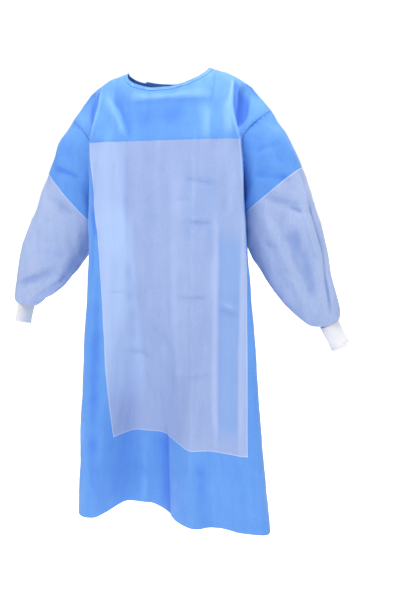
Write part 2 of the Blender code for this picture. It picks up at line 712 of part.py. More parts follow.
def build_binding(front, front_normals, backs, materials):
    """A band that stands on the neck edges, from the inner back's end round to the outer back's."""
    shoulder = SIDE_COLUMNS + SHOULDER_COLUMNS
    left_grid, left_normals = backs["back_left"]
    right_grid, right_normals = backs["back_right"]
    last = front.shape[1] - 1 - shoulder
    stations = []
    for column in range(left_grid.shape[1] - 1, shoulder, -1):
        stations.append((left_grid[-1, column], left_grid[-2, column], left_normals[-1, column]))
    stations.append(((left_grid[-1, shoulder] + front[-1, last]) / 2, left_grid[-1, shoulder - 1],
                     left_normals[-1, shoulder]))
    for column in range(last - 1, shoulder, -1):
        stations.append((front[-1, column], front[-2, column], front_normals[-1, column]))
    neck = right_grid.shape[1] - 1 - shoulder
    stations.append(((right_grid[-1, neck] + front[-1, shoulder]) / 2, right_grid[-1, neck + 1],
                     right_normals[-1, neck]))
    for column in range(neck - 1, -1, -1):
        stations.append((right_grid[-1, column], right_grid[-2, column], right_normals[-1, column]))
    low = []
    high = []
    outwards = []
    for index, (edge, below, normal) in enumerate(stations):
        before = stations[max(index - 1, 0)][0]
        after = stations[min(index + 1, len(stations) - 1)][0]
        along = after - before
        along /= np.linalg.norm(along)
        rise = edge - below
        rise -= along * (rise @ along)
        rise /= np.linalg.norm(rise)
        outward = np.cross(along, rise)
        outward /= np.linalg.norm(outward)
        if outward @ normal < 0.0:
            outward = -outward
        low.append(edge + rise * SEAM_GAP)
        high.append(edge + rise * BAND_WIDTH)
        outwards.append(outward)
    grid = np.array([low, (np.array(low) + np.array(high)) / 2, high])
    normals = np.array([outwards] * 3)
    wall("neck_binding", grid, normals, BAND_CLOTH, (BAND_CLOTH - CLOTH) / 2, materials["body"])


def build_tab(backs, materials):
    """The tab on the outer back's end, which reaches on over the inner back."""
    grid, normals = backs["back_right"]
    rows = slice(grid.shape[0] - 1 - TAB_HEIGHT_ROWS, grid.shape[0])
    part = grid[rows, 2::-1]
    part_normals = normals[rows, 2::-1]
    first = part[:, 1] - part[:, 0]
    second = part[:, 2] - part[:, 1]
    first_length = np.linalg.norm(first, axis=1)[:, None]
    second_length = np.linalg.norm(second, axis=1)[:, None]
    way = second / second_length
    bend = (way - first / first_length) / ((first_length + second_length) / 2)
    more = []
    more_normals = []
    for share in TAB_SHARES:
        distance = TAB_OVER * share
        drop = (WRAP_LIFT - CLOTH - SEAM_GAP) * smooth_step(share / TAB_SHARES[1])
        turned = part_normals[:, 2] + (part_normals[:, 2] - part_normals[:, 1]) * distance / second_length
        turned /= np.linalg.norm(turned, axis=1)[:, None]
        middle_way = way * distance + bend * distance * (distance + second_length) / 2
        more.append(part[:, 2] + middle_way - turned * drop)
        more_normals.append(turned)
    part = np.concatenate([part, np.stack(more, axis=1)], axis=1)
    part_normals = np.concatenate([part_normals, np.stack(more_normals, axis=1)], axis=1)
    wall("neck_tab", part[:, ::-1], part_normals[:, ::-1], TAB_CLOTH, SEAM_GAP + TAB_CLOTH, materials["tab"])


def main():
    clear_scene()
    materials = {
        "body": cloth_material("body_blue", BODY_BLUE, 0.72),
        "panel": cloth_material("panel_blue", PANEL_BLUE, 0.78),
        "cuff": cloth_material("cuff_white", CUFF_WHITE, 0.85),
        "tab": cloth_material("tab_blue", TAB_BLUE, 0.80),
    }
    front, front_normals = build_front(materials)
    build_panel(front, front_normals, materials)
    backs = build_backs(materials)
    build_sleeve(1, "left", LEFT_RINGS, LEFT_CUFF, front, backs["back_left"][0], materials)
    build_sleeve(-1, "right", RIGHT_RINGS, RIGHT_CUFF, front, backs["back_right"][0], materials)
    build_cuff("left", LEFT_CUFF, 1, materials)
    build_cuff("right", RIGHT_CUFF, -1, materials)
    build_binding(front, front_normals, backs, materials)
    build_tab(backs, materials)


main()
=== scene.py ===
"""Surgical gown: thin shells on the part's form, with creases, seams, knit and cloth materials.

Row frame: metres, +Z up, front faces -Y, the wearer's left is +X.
"""

import math
from collections import namedtuple

import bpy
import numpy as np
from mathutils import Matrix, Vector, noise


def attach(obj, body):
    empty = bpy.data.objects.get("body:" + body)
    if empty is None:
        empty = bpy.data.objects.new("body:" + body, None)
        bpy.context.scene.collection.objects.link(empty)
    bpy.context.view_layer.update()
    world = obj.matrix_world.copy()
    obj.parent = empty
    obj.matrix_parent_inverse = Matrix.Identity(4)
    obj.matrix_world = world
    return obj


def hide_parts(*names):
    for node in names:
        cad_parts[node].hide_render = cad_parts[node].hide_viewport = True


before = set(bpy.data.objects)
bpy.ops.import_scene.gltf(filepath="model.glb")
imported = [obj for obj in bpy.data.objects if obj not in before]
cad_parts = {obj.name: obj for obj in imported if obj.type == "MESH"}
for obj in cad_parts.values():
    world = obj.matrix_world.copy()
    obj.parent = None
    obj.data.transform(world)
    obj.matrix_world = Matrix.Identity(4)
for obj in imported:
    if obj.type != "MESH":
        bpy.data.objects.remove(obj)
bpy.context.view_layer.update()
bpy.ops.object.select_all(action="DESELECT")

MM = 0.001

# Gaps at seams and along the sewn side seams, the thickness of each shell, and the main sizes
SEAM_GAP = 0.3 * MM
SEWN_GAP = 0.05 * MM
SHELL = 0.6 * MM
PANEL_SHELL = 0.7 * MM
KNIT = 2.0 * MM
BAND_CLOTH = 2.0 * MM
FINE_COLUMNS = 6
SHARP_ANGLE = math.radians(50.0)
HEM_Z = -1.165
PANEL_BOTTOM_Z = -0.945
UNDERARM_Z = -0.325
CHEST_Z = -0.180
NECK_HALF = 0.106
BAND_WIDTH = 10 * MM
BAND_ROWS = 10

# The inner back's neck edge is raised over its topmost rows; ways up at the neck are taken over a few rows
NECK_LAP_RISE = 0.006
LAP_ROWS = 15
WAY_ROWS = 5

# Neck edge at the middle of each half; the powers shape its way there from the neck points
NeckHalf = namedtuple("NeckHalf", "middle_y drop depth_power drop_power")
NECK_FRONT = NeckHalf(-0.086, 0.0615, 1.1, 1.25)
NECK_BACK = NeckHalf(0.078, 0.031, 1.1, 0.7)

# Body sections: two front corners, the side seams, the front middle and the back at each height
Section = namedtuple("Section", "z left_x left_y right_x right_y front_y "
                     "seam_left_x seam_right_x seam_y back_y back_half")
SECTIONS = (
    Section(-1.165, 0.300, -0.118, -0.214, -0.150, -0.132, 0.270, -0.267, 0.050, 0.215, 0.190),
    Section(-0.945, 0.280, -0.140, -0.206, -0.146, -0.146, 0.246, -0.248, 0.045, 0.190, 0.180),
    Section(-0.680, 0.256, -0.134, -0.197, -0.136, -0.140, 0.225, -0.232, 0.035, 0.162, 0.170),
    Section(-0.450, 0.232, -0.122, -0.186, -0.120, -0.130, 0.204, -0.214, 0.025, 0.142, 0.160),
    Section(-0.325, 0.219, -0.114, -0.184, -0.113, -0.122, 0.198, -0.208, 0.018, 0.132, 0.152),
    Section(-0.180, 0.208, -0.105, -0.182, -0.104, -0.112, 0.197, -0.205, 0.012, 0.120, 0.140),
)
CORNER_REACH = 0.032
SEAM_REACH = 0.050
MIDDLE_REACH = 0.110
BACK_REACH = 0.090
BACK_CROWN = 0.012
CORNER_STEPS = 12

# Where the panel's side edges lie on the front, as distances from its middle along the section
PanelEdge = namedtuple("PanelEdge", "z left right")
PANEL_EDGES = (
    PanelEdge(-0.945, 0.242, 0.128),
    PanelEdge(-0.750, 0.238, 0.132),
    PanelEdge(-0.570, 0.232, 0.139),
    PanelEdge(-0.350, 0.222, 0.160),
    PanelEdge(-0.180, 0.208, 0.178),
)

# Soft folds that run down the body: a floor between two flanks, its middle placed along the section
# from the middle, nothing at z_start and full at z_full. On the front + is to the wearer's left and
# the depth inward, on the back + is to the wearer's right and the depth outward
Fold = namedtuple("Fold", "place_low place_high flank_right floor flank_left z_start z_full depth")
FRONT_FOLDS = (
    Fold(-0.078, -0.004, 0.072, 0.055, 0.138, -0.42, -0.93, 0.100),
    Fold(0.160, 0.145, 0.060, 0.010, 0.060, -0.60, -1.08, 0.012),
    Fold(-0.215, -0.195, 0.050, 0.010, 0.060, -0.55, -1.10, -0.010),
    Fold(0.104, 0.080, 0.030, 0.006, 0.040, -0.75, -1.10, -0.008),
)
BACK_FOLDS = (
    Fold(0.265, 0.215, 0.060, 0.010, 0.065, -0.38, -1.05, 0.030),
    Fold(0.155, 0.125, 0.055, 0.012, 0.050, -0.50, -1.00, -0.016),
    Fold(0.040, 0.030, 0.060, 0.010, 0.065, -0.62, -1.10, 0.012),
    Fold(-0.060, -0.040, 0.050, 0.008, 0.060, -0.56, -1.05, -0.012),
    Fold(-0.190, -0.160, 0.065, 0.012, 0.055, -0.42, -1.00, 0.030),
    Fold(-0.285, -0.240, 0.030, 0.010, 0.065, -0.55, -1.10, 0.018),
)

# Shoulder seam from the armhole's top to the neck band, on one side
ShoulderPoint = namedtuple("ShoulderPoint", "x z")
SHOULDER = (
    ShoulderPoint(0.262, -0.106),
    ShoulderPoint(0.238, -0.076),
    ShoulderPoint(0.214, -0.048),
    ShoulderPoint(0.184, -0.028),
    ShoulderPoint(0.150, -0.012),
    ShoulderPoint(NECK_HALF + BAND_WIDTH, -0.0015),
)
ARMHOLE_FRONT = 0.072
ARMHOLE_BACK = 0.072
ARMHOLE_ROUNDING = 2.4
YOKE_LIFT = 0.075
YOKE_SWEEP = 0.120

# How the columns reach the top edge: lean over the shoulder, and lean and pull-in at the neck's middle
TOP_LEAN = 0.12
NECK_LEAN = 0.70
NECK_PULL = 0.45
TOP_TURN = 0.25 * math.pi

# The hollow beside each crease, below the shoulder: deepest at its place between crease and armhole
RECESS_DEPTH = 0.024
RECESS_PLACE = 0.25
RECESS_TOP = 1.05
RECESS_POWER = 0.6
RECESS_WAY = (0.45, 0.85, -0.25)

# Share of each half of the top edge that the creases and the neck points take, from the armhole
CREASE_SHARE = 0.325
NECK_SHARE = 0.56
NECK_SPREAD = 1.12
SIDE_POWER = 0.9

# Columns of each half of the body, from the armhole or side seam inwards
SIDE_COLUMNS = 6 * FINE_COLUMNS
SHOULDER_COLUMNS = 3 * FINE_COLUMNS
NECK_COLUMNS = 5 * FINE_COLUMNS
LOW_ROWS = 36
PANEL_ROWS = 108
CHEST_ROWS = 24
YOKE_ROWS = 30

# The wearer's left back hangs inside, the right back wraps over it: how far past the middle each goes
WrapEdge = namedtuple("WrapEdge", "z reach")
WRAP_EDGES = (
    WrapEdge(-1.165, 0.120),
    WrapEdge(-0.680, 0.100),
    WrapEdge(-0.180, 0.080),
)
WRAP_SHARE = 0.78
WRAP_LIFT = 2.6 * MM
BACK_CREASE = 0.70
WRAP_COLUMNS = 3 * FINE_COLUMNS

# Sleeve rings: outer and inner edge in the plane y = depth_y, half depths to front and back
Ring = namedtuple("Ring", "outer_x outer_z inner_x inner_z y front back")
LEFT_RINGS = (
    Ring(0.300, -0.165, 0.2035, -0.336, 0.010, 0.066, 0.066),
    Ring(0.340, -0.243, 0.2045, -0.354, 0.008, 0.060, 0.060),
    Ring(0.356, -0.283, 0.2060, -0.392, 0.008, 0.056, 0.056),
    Ring(0.372, -0.325, 0.2090, -0.430, 0.008, 0.053, 0.053),
    Ring(0.387, -0.372, 0.2220, -0.463, 0.006, 0.051, 0.051),
    Ring(0.400, -0.418, 0.2420, -0.490, 0.004, 0.050, 0.050),
    Ring(0.410, -0.462, 0.2610, -0.520, 0.002, 0.049, 0.049),
    Ring(0.421, -0.507, 0.2840, -0.549, 0.000, 0.048, 0.048),
    Ring(0.434, -0.548, 0.3100, -0.579, -0.002, 0.046, 0.046),
    Ring(0.443, -0.580, 0.3390, -0.608, -0.003, 0.042, 0.042),
    Ring(0.4455, -0.600, 0.3700, -0.633, -0.004, 0.037, 0.037),
)
RIGHT_RINGS = (
    Ring(0.300, -0.160, 0.2145, -0.345, 0.012, 0.066, 0.066),
    Ring(0.342, -0.252, 0.2180, -0.388, 0.012, 0.060, 0.060),
    Ring(0.358, -0.285, 0.2245, -0.414, 0.012, 0.056, 0.056),
    Ring(0.376, -0.325, 0.2350, -0.443, 0.010, 0.053, 0.053),
    Ring(0.397, -0.372, 0.2500, -0.470, 0.006, 0.051, 0.051),
    Ring(0.413, -0.412, 0.2670, -0.493, 0.002, 0.050, 0.050),
    Ring(0.427, -0.452, 0.2850, -0.520, -0.004, 0.049, 0.049),
    Ring(0.438, -0.497, 0.3080, -0.545, -0.008, 0.048, 0.048),
    Ring(0.445, -0.538, 0.3350, -0.571, -0.012, 0.046, 0.046),
    Ring(0.4500, -0.566, 0.3630, -0.590, -0.013, 0.042, 0.042),
    Ring(0.4530, -0.590, 0.3900, -0.608, -0.013, 0.0400, 0.0400),
)
SEAM_RING = 1
SLEEVE_ROUNDING = 3.4
SLEEVE_COLUMNS = 168
OVAL_STEPS = 720
RING_STEPS = 12

# Cuffs: middle of the top and of the bottom, half sizes across
Cuff = namedtuple("Cuff", "top bottom half_width half_depth")
LEFT_CUFF = Cuff((0.4205, -0.004, -0.6275), (0.4510, -0.004, -0.6840), 0.0245, 0.0285)
RIGHT_CUFF = Cuff((-0.4320, -0.013, -0.6150), (-0.4380, -0.026, -0.6650), 0.0180, 0.0325)
CUFF_RIBS = 48
CUFF_ROWS = 72

# The tab: rows of the back that it covers, how far it goes on past the back's edge, its columns there,
# and the share of that way over which it drops to the other back
TAB_HEIGHT_ROWS = 10
TAB_OVER = 0.040
TAB_STEPS = 12
TAB_DROP_SHARE = 0.70
TAB_CLOTH = 1.0 * MM


def smooth_step(value):
    value = min(max(value, 0.0), 1.0)
    return value * value * (3.0 - 2.0 * value)


def hermite(start, start_slope, end, end_slope, share):
    """Cubic from start to end; the slopes are per whole span."""
    square = share * share
    cube = square * share
    return (start * (2.0 * cube - 3.0 * square + 1.0) + start_slope * (cube - 2.0 * square + share)
            + end * (3.0 * square - 2.0 * cube) + end_slope * (cube - square))


def read_table(rows, z):
    """The table's row at height z, through a smooth curve in each column."""
    heights = [row.z for row in rows]
    index = int(np.clip(np.searchsorted(heights, z) - 1, 0, len(rows) - 2))
    table = np.array(rows)
    slopes = np.gradient(table, np.array(heights), axis=0)
    span = heights[index + 1] - heights[index]
    share = min(max((z - heights[index]) / span, 0.0), 1.0)
    values = hermite(table[index], slopes[index] * span, table[index + 1], slopes[index + 1] * span, share)
    return type(rows[0])(*values)


def resample(points, distances):
    """Points at the given distances along a polyline."""
    steps = np.linalg.norm(np.diff(points, axis=0), axis=1)
    along = np.concatenate(([0.0], np.cumsum(steps)))
    columns = [np.interp(distances, along, points[:, axis]) for axis in range(points.shape[1])]
    return np.stack(columns, axis=1)


def length_along(points):
    return float(np.sum(np.linalg.norm(np.diff(points, axis=0), axis=1)))


def rounded_path(corners, reaches):
    """A polyline through straight runs, each inner corner rounded over its reach."""
    corners = np.array(corners, dtype=float)
    path = [corners[0]]
    for index in range(1, len(corners) - 1):
        before = corners[index - 1] - corners[index]
        after = corners[index + 1] - corners[index]
        reach_before = min(reaches[index], 0.49 * np.linalg.norm(before))
        reach_after = min(reaches[index], 0.49 * np.linalg.norm(after))
        start = corners[index] + before / np.linalg.norm(before) * reach_before
        end = corners[index] + after / np.linalg.norm(after) * reach_after
        for step in range(CORNER_STEPS + 1):
            share = step / CORNER_STEPS
            bend = 2 * share * (1 - share) * corners[index]
            path.append((1 - share) ** 2 * start + bend + share ** 2 * end)
    path.append(corners[-1])
    return np.array(path)


def body_section(z):
    """The body's closed outline at height z, from the back middle round by the wearer's right."""
    row = read_table(SECTIONS, z)
    corners = [
        (0.0, row.back_y + BACK_CROWN), (-row.back_half, row.back_y), (row.seam_right_x, row.seam_y),
        (row.right_x, row.right_y), (0.0, row.front_y), (row.left_x, row.left_y),
        (row.seam_left_x, row.seam_y), (row.back_half, row.back_y),
    ]
    reaches = [MIDDLE_REACH, BACK_REACH, SEAM_REACH, CORNER_REACH,
               MIDDLE_REACH, CORNER_REACH, SEAM_REACH, BACK_REACH]
    path = rounded_path(corners[-1:] + corners + corners[:2], [0.0] + reaches + [MIDDLE_REACH, 0.0])
    steps = CORNER_STEPS + 1
    first = 1 + CORNER_STEPS // 2
    return row, path[first:first + 8 * steps + 1]


def armhole_y(z, depth):
    """How far the armhole's edge lies in front of the side seam, or behind it."""
    if z <= UNDERARM_Z:
        return 0.0
    share = min((z - UNDERARM_Z) / (CHEST_Z - UNDERARM_Z), 1.0)
    return depth * (1.0 - (1.0 - share) ** ARMHOLE_ROUNDING)


def side_of_line(loop, limit, facing):
    """The open part of a closed outline before (facing -1) or behind the line y = limit.

    The front runs from the wearer's right to the left, the back from the left to the right.
    """
    if facing > 0:
        loop = np.vstack([loop[len(loop) // 2:-1], loop[:len(loop) // 2 + 1]])
    inside = facing * (loop[:, 1] - limit) > 0.0
    first = int(np.argmax(inside))
    last = len(loop) - 1 - int(np.argmax(inside[::-1]))
    ends = []
    for outer, inner in ((first - 1, first), (last + 1, last)):
        share = (limit - loop[inner, 1]) / (loop[outer, 1] - loop[inner, 1])
        ends.append(loop[inner] + share * (loop[outer] - loop[inner]))
    return np.vstack([ends[:1], loop[first:last + 1], ends[1:]])


def fold_depth(folds, place, z):
    depth = 0.0
    for fold in folds:
        growth = smooth_step((fold.z_start - z) / (fold.z_start - fold.z_full))
        shift = (z - HEM_Z) / (fold.z_start - HEM_Z)
        middle = fold.place_low + (fold.place_high - fold.place_low) * min(max(shift, 0.0), 1.0)
        offset = place - middle
        flank = fold.flank_left if offset > 0.0 else fold.flank_right
        depth += fold.depth * growth * smooth_step(1.0 - (abs(offset) - fold.floor / 2) / flank)
    return depth


def folded(path, folds, distances, middle, z):
    """Resampled section points with the folds pushed in along the section's normal."""
    points = resample(path, distances)
    ahead = resample(path, distances + MM)
    behind = resample(path, distances - MM)
    along = ahead - behind
    along /= np.linalg.norm(along, axis=1)[:, None]
    inward = np.stack([-along[:, 1], along[:, 0]], axis=1)
    if points[len(points) // 2, 1] > 0.0:
        inward = -inward
    depths = np.array([fold_depth(folds, distance - middle, z) for distance in distances])
    return points + inward * depths[:, None]


def side_shares():
    """From the side seam or armhole (0) to the crease (1)."""
    return np.linspace(0.0, 1.0, SIDE_COLUMNS + 1) ** SIDE_POWER


def column_places(total, middle, crease_right, crease_left):
    """Distances along a front row: seam, crease, neck column, middle, and the same back out."""
    side = side_shares()
    right = side * (middle - crease_right)
    left = total - side * (total - middle - crease_left)
    inner_right = middle - crease_right * (1.0 - inner_shares())
    inner_left = middle + crease_left * (1.0 - inner_shares())
    return np.concatenate([right, inner_right[1:], inner_left[::-1][1:], left[::-1][1:]])


def back_places(total, middle, wrap):
    """Distances along a back row: seam, crease, neck column, wrap edge, middle, and back out."""
    side = side_shares()
    right = side * middle * (1.0 - BACK_CREASE)
    left = total - side * (total - middle) * (1.0 - BACK_CREASE)
    rows = []
    for half, way in ((middle, -1.0), (total - middle, 1.0)):
        crease = BACK_CREASE * half
        neck = (crease + wrap) / 2
        outer = np.linspace(crease, neck, SHOULDER_COLUMNS + 1)[1:]
        between = np.linspace(neck, wrap, NECK_COLUMNS - WRAP_COLUMNS + 1)[1:]
        lapped = np.linspace(wrap, 0.0, WRAP_COLUMNS + 1)[1:]
        rows.append(middle + way * np.concatenate([outer, between, lapped]))
    return np.concatenate([right, rows[0], rows[1][::-1][1:], left[::-1]])


def inner_shares():
    """From the crease (0) through the neck column to the middle (1)."""
    neck = (NECK_SHARE - CREASE_SHARE) / (1.0 - CREASE_SHARE) * NECK_SPREAD
    outer = np.linspace(0.0, neck, SHOULDER_COLUMNS + 1)
    return np.concatenate([outer, np.linspace(neck, 1.0, NECK_COLUMNS + 1)[1:]])


def top_shares(facing):
    """Shares of the half top edge at the columns, from the armhole to the middle."""
    side = side_shares() * CREASE_SHARE
    shoulder = np.linspace(CREASE_SHARE, NECK_SHARE, SHOULDER_COLUMNS + 1)[1:]
    neck = np.linspace(NECK_SHARE, 1.0, NECK_COLUMNS + 1)[1:]
    if facing > 0:
        between = np.linspace(NECK_SHARE, WRAP_SHARE, NECK_COLUMNS - WRAP_COLUMNS + 1)[1:]
        neck = np.concatenate([between, np.linspace(WRAP_SHARE, 1.0, WRAP_COLUMNS + 1)[1:]])
    return np.concatenate([side, shoulder, neck])


def neck_edge(angle, facing):
    """A point of the body's neck edge; angle 0 is the neck point, a quarter turn the middle."""
    neck = NECK_FRONT if facing < 0 else NECK_BACK
    last = SHOULDER[-1]
    across = last.x * math.cos(angle)
    depth = neck.middle_y * math.sin(angle) ** neck.depth_power
    height = last.z - (neck.drop + last.z) * math.sin(angle) ** neck.drop_power
    return np.array([across, depth, height])


def top_edge(side, share, facing):
    """Point of the top edge and the way a column reaches it, at a share of the half edge."""
    if share <= NECK_SHARE:
        line = np.array([(point.x, 0.0, point.z) for point in SHOULDER])
        point = resample(line, np.array([share / NECK_SHARE * length_along(line)]))[0]
        point[1] = facing * SEAM_GAP / 2
        turn = smooth_step(2.0 * share / NECK_SHARE - 1.0) * TOP_TURN
        reach = np.array([-math.sin(turn), -facing * math.cos(turn), TOP_LEAN])
    else:
        angle = (share - NECK_SHARE) / (1.0 - NECK_SHARE) * 0.5 * math.pi
        point = neck_edge(angle, facing)
        point[1] += facing * SEAM_GAP / 2
        blend = math.sin(angle)
        turn = TOP_TURN * (1.0 + math.sqrt(blend))
        inward = math.cos(turn) * (1.0 - blend) + NECK_PULL * blend
        lean = TOP_LEAN + NECK_LEAN * blend ** 2
        reach = np.array([-math.sin(turn) * (1.0 - blend), -facing * inward, lean])
    reach /= np.linalg.norm(reach)
    return point * np.array([side, 1.0, 1.0]), reach * np.array([side, 1.0, 1.0])


def recess(share_from_crease, rise):
    """The hollow beside each crease, between the chest and the shoulder cap."""
    if share_from_crease <= 0.0 or share_from_crease >= 1.0:
        return 0.0
    if share_from_crease < RECESS_PLACE:
        across = share_from_crease / RECESS_PLACE
    else:
        across = (1.0 - share_from_crease) / (1.0 - RECESS_PLACE)
    height = math.sin(math.pi * min(rise * RECESS_TOP, 1.0)) ** RECESS_POWER
    return RECESS_DEPTH * smooth_step(across) * height


def yoke_row(low, lower, facing, rise):
    """A row above the chest, from the chest row (low) up to the top edge; rise runs 0 to 1."""
    shares = top_shares(facing)
    both = np.concatenate([shares, shares[::-1][1:]])
    half = len(shares) - 1
    row = []
    for index, share in enumerate(both):
        side = -1.0 if index < half or (index == half) else 1.0
        if facing > 0:
            side = -side
        end, reach = top_edge(side, share, facing)
        start = low[index]
        slope = (low[index] - lower[index]) / MM
        point = hermite(start, slope / max(abs(slope[2]), 1e-6) * YOKE_LIFT, end, reach * YOKE_SWEEP, rise)
        if share < CREASE_SHARE and facing < 0:
            depth = recess(1.0 - share / CREASE_SHARE, rise)
            point = point + np.array(RECESS_WAY) * np.array([-side, -facing, 1.0]) * depth
        row.append(point)
    return np.array(row)


def section_row(z, facing):
    """One row of the front or back at height z, as columns of points."""
    row, loop = body_section(z)
    armhole = armhole_y(z, ARMHOLE_FRONT if facing < 0 else ARMHOLE_BACK)
    path = side_of_line(loop, row.seam_y + facing * (SEAM_GAP / 2 + armhole), facing)
    steps = np.linalg.norm(np.diff(path, axis=0), axis=1)
    along = np.concatenate(([0.0], np.cumsum(steps)))
    crossing = int(np.argmax(facing * path[:, 0] < 0.0))
    share = path[crossing - 1, 0] / (path[crossing - 1, 0] - path[crossing, 0])
    middle = along[crossing - 1] + share * steps[crossing - 1]
    if facing < 0:
        edges = read_table(PANEL_EDGES, z)
        places = column_places(along[-1], middle, edges.right, edges.left)
    else:
        places = back_places(along[-1], middle, read_table(WRAP_EDGES, z).reach)
    flat = folded(path, FRONT_FOLDS if facing < 0 else BACK_FOLDS, places, middle, z)
    return np.column_stack([flat, np.full(len(flat), z)])


def row_heights():
    low = np.linspace(HEM_Z, PANEL_BOTTOM_Z, LOW_ROWS + 1)
    panel = np.linspace(PANEL_BOTTOM_Z, UNDERARM_Z, PANEL_ROWS + 1)[1:]
    chest = np.linspace(UNDERARM_Z, CHEST_Z, CHEST_ROWS + 1)[1:]
    return np.concatenate([low, panel, chest])


def body_half(facing):
    """All rows of the front (facing -1) or the back (facing +1), hem first."""
    rows = [section_row(z, facing) for z in row_heights()]
    below = section_row(CHEST_Z - MM, facing)
    chest = rows[-1]
    for step in range(1, YOKE_ROWS + 1):
        rows.append(yoke_row(chest, below, facing, step / YOKE_ROWS))
    return np.array(rows)


def grid_normals(grid, closed, flip):
    """Outward normals of a grid of points, hem row first."""
    if closed:
        across = np.roll(grid, -1, axis=1) - np.roll(grid, 1, axis=1)
    else:
        across = np.gradient(grid, axis=1)
    up = np.gradient(grid, axis=0)
    normals = np.cross(across, up)
    normals /= np.linalg.norm(normals, axis=2)[:, :, None]
    return -normals if flip else normals


def level_in_plane(normals, index, plane_normal):
    """Turns the normals of an edge into the seam's own plane, so that two walls meet square."""
    plane = np.array(plane_normal, dtype=float)
    plane /= np.linalg.norm(plane)
    flat = normals[index] - np.outer(normals[index] @ plane, plane).reshape(normals[index].shape)
    normals[index] = flat / np.linalg.norm(flat, axis=-1)[..., None]


def body_normals(grid, seam_rows):
    """Normals of a body grid, squared at the side seams, the shoulder seams and the hem."""
    normals = grid_normals(grid, False, False)
    level_in_plane(normals, 0, (0.0, 0.0, 1.0))
    for column in (0, grid.shape[1] - 1):
        level_in_plane(normals, (slice(0, seam_rows), column), (0.0, 1.0, 0.0))
    return normals


def armhole_ring(front, back, side):
    """The armhole's loop, top, front, underarm, back, at the sleeve's columns."""
    first = LOW_ROWS + PANEL_ROWS
    front_edge = front[first:, 0 if side < 0 else -1][::-1]
    back_edge = back[first:, -1 if side < 0 else 0]
    half = SLEEVE_COLUMNS // 2
    down = resample(front_edge, np.linspace(0.0, length_along(front_edge), half + 1))
    up = resample(back_edge, np.linspace(0.0, length_along(back_edge), half + 1))
    down[0] = (down[0] + up[-1]) / 2
    down[-1] = (down[-1] + up[0]) / 2
    return np.vstack([down, up[1:-1]])


def sleeve_ring(ring, side, columns):
    """One ring of a sleeve as a rounded flat oval."""
    outer = np.array([side * ring.outer_x, ring.y, ring.outer_z])
    inner = np.array([side * ring.inner_x, ring.y, ring.inner_z])
    middle = (outer + inner) / 2
    reach = (outer - inner) / 2
    dense = []
    for step in range(OVAL_STEPS + 1):
        angle = 2 * math.pi * step / OVAL_STEPS
        cosine = math.cos(angle)
        sine = math.sin(angle)
        wide = math.copysign(abs(cosine) ** (2 / SLEEVE_ROUNDING), cosine)
        deep = math.copysign(abs(sine) ** (2 / SLEEVE_ROUNDING), sine)
        depth = ring.front if sine > 0 else ring.back
        dense.append(middle + reach * wide + np.array([0.0, -depth * deep, 0.0]))
    dense = np.array(dense)
    front_half = dense[:OVAL_STEPS // 2 + 1]
    back_half = dense[OVAL_STEPS // 2:]
    half = columns // 2
    down = resample(front_half, np.linspace(0.0, length_along(front_half), half + 1))
    up = resample(back_half, np.linspace(0.0, length_along(back_half), half + 1))
    return np.vstack([down, up[1:-1]])


def cuff_frame(cuff, side):
    """The cuff's middle at its top, its way down, its directions to the outer edge and the front."""
    top = np.array(cuff.top)
    way = np.array(cuff.bottom) - top
    length = float(np.linalg.norm(way))
    way /= length
    across = np.cross(way, [0.0, 1.0, 0.0])
    across /= np.linalg.norm(across)
    return top, way, side * across, np.cross(way, across), length


def cuff_loop(cuff, side, distance, columns):
    """An oval loop of the cuff at a distance down from its top, starting at the outer edge."""
    top, way, outer, front, _ = cuff_frame(cuff, side)
    loop = []
    for column in range(columns):
        angle = 2 * math.pi * column / columns
        loop.append(top + way * distance + outer * cuff.half_width * math.cos(angle)
                    + front * cuff.half_depth * math.sin(angle))
    return np.array(loop)


def shift_ring(loop, towards, distance):
    """Moves each point of a ring a little way towards the next ring."""
    way = towards - loop
    return loop + way / np.linalg.norm(way, axis=1)[:, None] * distance


